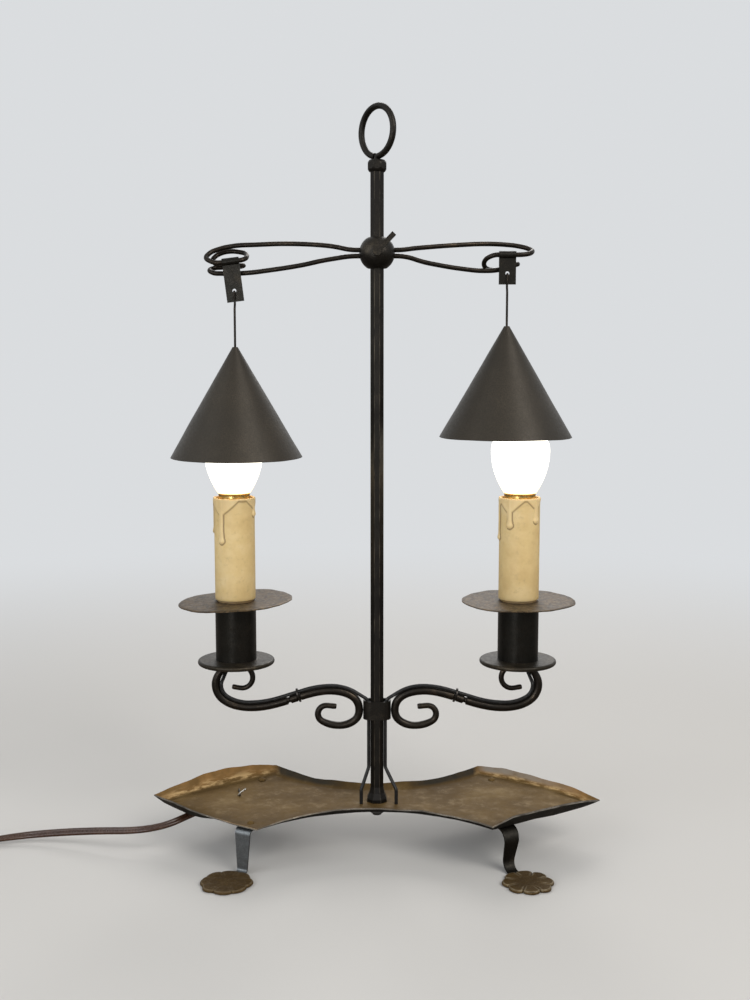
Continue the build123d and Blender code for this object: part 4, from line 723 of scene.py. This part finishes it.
for side, sign in SIDES.items():
    tall = SLEEVE_TOP - SLEEVE_LOW
    inset = SLEEVE_RADIUS - FOOT_REBATE
    rings = [(SLEEVE_BORE, SLEEVE_LOW), (inset, SLEEVE_LOW), (inset, SLEEVE_LOW + FOOT_RISE)]
    rings += [(SLEEVE_RADIUS - 0.35, SLEEVE_LOW + 1.6), (SLEEVE_RADIUS, SLEEVE_LOW + 2.3)]
    rings += [(SLEEVE_RADIUS, SLEEVE_LOW + tall * share) for share in (0.05, 0.2, 0.35)]
    rings += [(SLEEVE_RADIUS, SLEEVE_TOP - WAX_BAND + WAX_STEP * i) for i in range(1, WAX_RINGS)]
    rings += [(SLEEVE_RADIUS - 0.15, SLEEVE_TOP - 0.8), (SLEEVE_RADIUS - 0.5, SLEEVE_TOP - 0.2)]
    rings += [(SLEEVE_RADIUS - 0.9, SLEEVE_TOP), (SLEEVE_BORE + 0.3, SLEEVE_TOP - 0.2)]
    rings += [(SLEEVE_BORE, SLEEVE_TOP - 0.9), (SLEEVE_BORE, SLEEVE_LOW + tall / 2)]
    rings += [(SLEEVE_BORE, SLEEVE_LOW)]
    sleeve = turned("sleeve_" + side, sign * CUP_X, 0, rings, SLEEVE_SIDES, close_top=False)
    for key in ("wax", "wax_shadow"):
        sleeve.data.attributes.new(key, "FLOAT", "POINT")
    wax, wax_shadow = (sleeve.data.attributes[k].data for k in ("wax", "wax_shadow"))
    for i, v in enumerate(sleeve.data.vertices):
        flat = Vector((v.co.x - sign * CUP_X * MM, v.co.y)) / MM
        below = SLEEVE_TOP - v.co.z / MM
        if flat.length < SLEEVE_RADIUS - 1.2:
            # The rebate round the foot is painted dark: a painted shadow line.
            wax_shadow[i].value = 1 if below > tall - 2 else 0
            continue
        bearing = math.degrees(math.atan2(flat.x, -flat.y))
        depth, above, beside = (
            wax_depth(bearing - turn, below - up, WAX_RUNS[side], sign * WAX_SEED)
            for turn, up in ((0, 0), (0, WAX_LOOK_UP), (WAX_LOOK_ROUND, 0))
        )
        near = max(above, beside)
        grown = flat * ((flat.length + depth) / flat.length)
        v.co.x = sign * CUP_X * MM + grown.x * MM
        v.co.y = grown.y * MM
        if below < 2:
            v.co.z += noise.noise(Vector((flat.x, flat.y, sign * 6)) / 7) * 0.5 * MM
        wax[i].value = min(depth / 2, 1)
        # A painted shadow where the wax stands out just above or beside this point.
        wax_shadow[i].value = max(0, min((near - depth) * 2.2, 1)) * (1 - min(depth / 0.8, 0.95))
    bpy.ops.object.shade_smooth_by_angle(angle=math.radians(SLEEVE_CREASE))
    sleeve.data.materials.append(ivory)
    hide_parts("candle_sleeve_" + side)
    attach(sleeve, "stand")

# Sockets and bulbs: moulded black sockets hidden in the sleeves, brass screw bases, and egg-shaped white
# glass that is lit. The light is whitest at the middle of the bulb and yellow where it narrows to its base.
BULB_SEAT, BULB_NECK, BULB_MIDDLE, BULB_TOP = 303.074, 305.2, 341.0, 362.274
BULB_RADIUS, BULB_PINCH, BULB_STEPS, BULB_CREASE = 24.4, 0.45, 12, 50
BULB_GLOW_RISE = 21
COLLAR_RADIUS, COLLAR_BEAD, COLLAR_CREASE = 13.1, 13.5, 40


def clouded(name, size, detail, tones, polish):
    """A finish clouded between two tones, and from rough to polished."""
    material, tree, shader = bare_material(name)
    cloud = cloudy(tree, put(tree, "TexCoord").outputs["Object"], size, detail)
    tree.links.new(ramp(tree, cloud, *tones), shader.inputs["Base Color"])
    tree.links.new(spread(tree, cloud, 0.3, 0.7, *polish), shader.inputs["Roughness"])
    return material, shader


moulded, _ = clouded(
    "moulded_black", 1.5, 3.0, ((0.3, (0.012, 0.012, 0.012)), (0.7, (0.022, 0.021, 0.02))), (0.32, 0.22)
)
dress(moulded, "socket_left", "socket_right")

brass, shader = clouded(
    "spun_brass", 6, 5.0, ((0.35, (0.50, 0.33, 0.10)), (0.65, (0.75, 0.55, 0.22))), (0.36, 0.2)
)
shader.inputs["Metallic"].default_value = 1.0
dress(brass, "bulb_base_left", "bulb_base_right", "plug_blades")

lit_glass, tree, shader = bare_material("lit_glass")
place = put(tree, "TexCoord").outputs["Object"]
height = put(tree, "SeparateXYZ", Vector=place).outputs["Z"]
rise = spread(tree, height, BULB_NECK * MM, (BULB_NECK + BULB_GLOW_RISE) * MM, 0.0, 1.0)
frost = cloudy(tree, place, 9, 2.0)
glow = ramp(tree, rise, (0.0, (1.0, 0.56, 0.16)), (0.35, (1.0, 0.80, 0.45)), (1.0, (1.0, 0.93, 0.78)))
tree.links.new(glow, shader.inputs["Emission Color"])
tree.links.new(mix(tree, frost, (0.93, 0.91, 0.86), (0.97, 0.96, 0.93)), shader.inputs["Base Color"])
shader.inputs["Emission Strength"].default_value = 3.2
shader.inputs["Roughness"].default_value = 0.25
rings = [(0.008, BULB_NECK)]
for i in range(BULB_STEPS + 1):
    below = 1 - i / BULB_STEPS
    height = BULB_MIDDLE - (BULB_MIDDLE - BULB_NECK) * below
    rings.append((BULB_RADIUS * (1 - BULB_PINCH * below**2.1), height))
for i in range(1, BULB_STEPS):
    turn = math.pi / 2 * i / BULB_STEPS
    height = BULB_MIDDLE + (BULB_TOP - BULB_MIDDLE) * math.sin(turn)
    rings.append((BULB_RADIUS * math.cos(turn), height))
rings.append((0.3, BULB_TOP))
collar_rings = (
    (0.008, BULB_SEAT), (COLLAR_RADIUS, BULB_SEAT), (COLLAR_RADIUS, BULB_NECK - 0.5),
    (COLLAR_BEAD, BULB_NECK), (COLLAR_RADIUS, BULB_NECK + 0.4),
)
for side, sign in SIDES.items():
    collar = turned("bulb_collar_" + side, sign * CUP_X, 0, collar_rings)
    bpy.ops.object.shade_smooth_by_angle(angle=math.radians(COLLAR_CREASE))
    collar.data.materials.append(brass)
    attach(collar, "stand")
    bulb = turned("bulb_" + side, sign * CUP_X, 0, rings)
    bpy.ops.object.shade_smooth_by_angle(angle=math.radians(BULB_CREASE))
    bulb.data.materials.append(lit_glass)
    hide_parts("bulb_glass_" + side)
    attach(bulb, "stand")

# Lamp wires: thin black leads that follow each arm to the stem, drop through the tray and meet the cord
# in a crimped sleeve under its floor.
lead, shader = clouded(
    "lead_insulation", 3, 5.0, ((0.35, (0.008, 0.008, 0.008)), (0.7, (0.020, 0.019, 0.018))), (0.42, 0.30)
)
shader.inputs["Specular IOR Level"].default_value = 0.25
dress(lead, "lamp_wire_left", "lamp_wire_right", "cord_splice")

# Supply cord: brown twin flex, two cores side by side with a groove between, from the splice under the
# tray out to the left, held by a wire staple, and a tied coil with a plug just beyond the picture. The
# flex rolls towards its edge as it sags to the table and lies flat in the coil.
CORD_WIDTH, CORD_THICK, CORD_LENGTH = 6.6, 3.5, 1.79
CORD_ROUTE = (
    (-66.0, 8.0, 31.3), (-95.0, 15.0, 31.3), (-121.0, 19.0, 31.5), (-144.0, 7.0, 30.6),
    (-161.0, -9.0, 27.6), (-180.0, -21.0, 22.6), (-205.0, -24.0, 19.6), (-236.0, -14.0, 15.6),
    (-266.0, -5.0, 11.0), (-296.0, -0.5, 7.2), (-324.0, -4.0, 5.0), (-350.0, -12.0, 3.2),
    (-370.0, -15.0, 1.9),
)
COIL_INNER, COIL_PITCH, COIL_IN, COIL_OUT = 25.1, 7.05, 13, 12
COIL_STEPS, COIL_STACK = 4, 1.03
CORD_ROLL = [-22] * 6 + [-30, -40, -46, -40, -15]
CORE_POINTS, CORE_WRAP, CORD_WELD, CORD_CREASE = 15, 1.66, 0.01, 50
PLUG_TAIL, PLUG_HEIGHT = (18.0, 34.0, 48.0), 8.2
PRONG = ((-121.2, 12, 37), (-120.9, 12, 38.6), (-117.6, 12, 41.4), (-114.3, 12, 43.4))
PRONG_RADIUS, PRONG_CREASE = 0.8, 40
coil_outer = COIL_INNER + COIL_PITCH * COIL_IN / 4
coil_middle = Vector((CORD_ROUTE[-1][0] - CORD_WIDTH, CORD_ROUTE[-1][1] - coil_outer, 0))
route = [Vector(p) for p in CORD_ROUTE]
for i in range((COIL_IN + COIL_OUT) * COIL_STEPS + 1):
    quarter = i / COIL_STEPS
    past = quarter - COIL_IN
    radius = COIL_INNER + COIL_PITCH * abs(past) / 4
    climb = min(max((past + 1) / 2, 0), 1)
    angle = math.pi / 2 * (quarter + 1)
    height = CORD_ROUTE[-1][2] + CORD_THICK * COIL_STACK * climb
    reach = radius / math.cos(math.pi / 2 / COIL_STEPS / 2) ** 0.5
    route.append(coil_middle + Vector((math.cos(angle) * reach, math.sin(angle) * reach, height)))
tail_x = route[-1].x
for reach in PLUG_TAIL:
    height = route[-1].z if reach == PLUG_TAIL[0] else PLUG_HEIGHT
    route.append(Vector((tail_x, coil_middle.y - reach, height)))


def bent_line(name, points):
    """A smooth curve with these control points, in millimetres."""
    data = bpy.data.curves.new(name, "CURVE")
    data.dimensions = "3D"
    data.twist_mode = "Z_UP"
    data.resolution_u = 6
    spline = data.splines.new("NURBS")
    spline.points.add(len(points) - 1)
    for control, p in zip(spline.points, points):
        control.co = (*(Vector(p) * MM), 1)
    spline.order_u = 3
    spline.use_endpoint_u = True
    line = bpy.data.objects.new(name, data)
    bpy.context.scene.collection.objects.link(line)
    return line


def as_mesh(line):
    """A finished curve turned into a mesh."""
    bpy.ops.object.select_all(action="DESELECT")
    bpy.context.view_layer.objects.active = line
    line.select_set(True)
    bpy.ops.object.convert(target="MESH")
    return bpy.context.object


flex = bent_line("flex", route)
for control, roll in zip(flex.data.splines[0].points, CORD_ROLL):
    control.tilt = math.radians(roll)
bpy.context.view_layer.update()
bare_line = bpy.data.meshes.new_from_object(flex.evaluated_get(bpy.context.evaluated_depsgraph_get()))
bpy.data.meshes.remove(bare_line)
section = bpy.data.curves.new("flex_section", "CURVE")
section.dimensions = "2D"
outline = section.splines.new("POLY")
core = CORD_THICK / 2
ring = []
for centre, start in ((CORD_WIDTH / 2 - core, 0), (core - CORD_WIDTH / 2, math.pi)):
    for i in range(CORE_POINTS):
        angle = math.pi * (i / (CORE_POINTS - 1) - 0.5) * CORE_WRAP + start
        ring.append((centre + core * math.cos(angle), core * math.sin(angle)))
outline.points.add(len(ring) - 1)
for control, (x, y) in zip(outline.points, ring):
    control.co = (x * MM, y * MM, 0, 1)
outline.use_cyclic_u = True
section_object = bpy.data.objects.new("flex_section", section)
bpy.context.scene.collection.objects.link(section_object)
flex.data.bevel_mode = "OBJECT"
flex.data.bevel_object = section_object
flex.data.use_fill_caps = True
flex = as_mesh(flex)
bpy.data.objects.remove(section_object)
bpy.ops.object.mode_set(mode="EDIT")
bpy.ops.mesh.select_all(action="SELECT")
bpy.ops.mesh.remove_doubles(threshold=CORD_WELD * MM)
bpy.ops.mesh.normals_make_consistent(inside=False)
bpy.ops.object.mode_set(mode="OBJECT")
bpy.ops.object.shade_smooth_by_angle(angle=math.radians(CORD_CREASE))

dress(tie_wire, "cord_clip")
bright_wire, *_ = beaten_iron(
    "bright_wire", (0.34, 0.32, 0.28), (0.48, 0.45, 0.40), (0.62, 0.59, 0.54),
    rough=0.3, mark=2, depth=0.08, metallic=0.95,
)
prong = bent_line("clip_prong", PRONG)
prong.data.bevel_depth = PRONG_RADIUS * MM
prong.data.use_fill_caps = True
prong = as_mesh(prong)
bpy.ops.object.shade_smooth_by_angle(angle=math.radians(PRONG_CREASE))
prong.data.materials.append(bright_wire)
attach(prong, "stand")

flex_brown, tree, shader = bare_material("flex_brown")
place = put(tree, "TexCoord").outputs["Object"]
cloud = cloudy(tree, place, 18, 4.0)
fine = cloudy(tree, place, 1.2, 3.0)
tint = ramp(tree, cloud, (0.3, (0.036, 0.015, 0.008)), (0.7, (0.070, 0.033, 0.018)))
tree.links.new(tint, shader.inputs["Base Color"])
tree.links.new(spread(tree, fine, 0.3, 0.7, 0.34, 0.20), shader.inputs["Roughness"])
skin = put(tree, "Bump", Height=fine, Strength=0.15, Distance=0.08 * MM)
tree.links.new(skin.outputs["Normal"], shader.inputs["Normal"])
flex.data.materials.append(flex_brown)
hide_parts("cord", "cord_coil")
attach(flex, "stand")
dress(flex_brown, "plug_body")
dress(moulded, "coil_tie")

# Shade carrier: a forged ball that slides on the stem, with a clamp screw in front and a wire arm bent
# out to a flat coil on each side.
dress(arm_iron, "carrier_loop_left", "carrier_loop_right")
dress(stem_iron, "carrier_ball", "thumbscrew")

# Hanging tabs and hooks: strips folded over the coil, pierced for a soft iron wire that drops through the
# point of each shade and is stopped by a bead inside.
dress(cup_iron, "hanger_tab_left", "hanger_tab_right")
dress(arm_iron, "shade_wire_left", "shade_wire_right")

# Shades: plain cones rolled from thin sheet, lapped and soldered at the back. Dark bronze outside, and
# the rim is not quite true.
SHADES = {"left": (-117.575, 426.579), "right": (107.2, 443.7)}
SHADE_TALL, SHADE_RIM, SHADE_TIP, SHADE_SHEET = 91.4, 55.0, 2.2, 0.8
SHADE_STEPS, SHADE_SIDES, SHADE_CREASE = 30, 144, 40
DENT_WAVE, DENT_RIPPLE, RIM_WANDER = (30, 0.5), (12, 0.16), (34, 0.5)
LAP_RISE, LAP_TURN, LAP_LEAST_SHARE = 0.75, 0.08, 0.12
shade_bronze, *_ = beaten_iron(
    "shade_bronze", (0.034, 0.027, 0.018), (0.052, 0.041, 0.027), (0.080, 0.063, 0.042),
    rough=0.46, mark=16, depth=0.25, metallic=0.45,
)
for side, (x, tip) in SHADES.items():
    rings = []
    for i in range(SHADE_STEPS + 1):
        share = (i / SHADE_STEPS) ** 0.8
        rings.append((SHADE_RIM + (SHADE_TIP - SHADE_RIM) * share, tip - SHADE_TALL * (1 - share)))
    cone = turned("shade_" + side + "_cone", x, 0, rings, SHADE_SIDES, close_top=False)
    for v in cone.data.vertices:
        spot = v.co / MM - Vector((x, 0, tip))
        flat = Vector((spot.x, spot.y))
        low = min(max(-spot.z / SHADE_TALL, 0), 1)
        bearing = math.atan2(flat.x, flat.y)
        dent = noise.noise(spot / DENT_WAVE[0] + Vector((x, 0, 0))) * DENT_WAVE[1]
        dent += ripple(spot, DENT_RIPPLE)
        lap = LAP_RISE if 0 <= bearing < LAP_TURN / max(low, LAP_LEAST_SHARE) else 0
        flat *= (flat.length + dent * low + lap * min(low * 6, 1)) / flat.length
        v.co.x, v.co.y = (x + flat.x) * MM, flat.y * MM
        v.co.z += ripple(Vector((spot.x, spot.y, x)), RIM_WANDER) * low * MM
    thick = cone.modifiers.new("sheet", "SOLIDIFY")
    thick.thickness = SHADE_SHEET * MM
    thick.offset = -1
    bpy.ops.object.modifier_apply(modifier="sheet")
    bpy.ops.object.shade_smooth_by_angle(angle=math.radians(SHADE_CREASE))
    cone.data.materials.append(shade_bronze)
    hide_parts("shade_" + side)
    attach(cone, "shade_" + side)
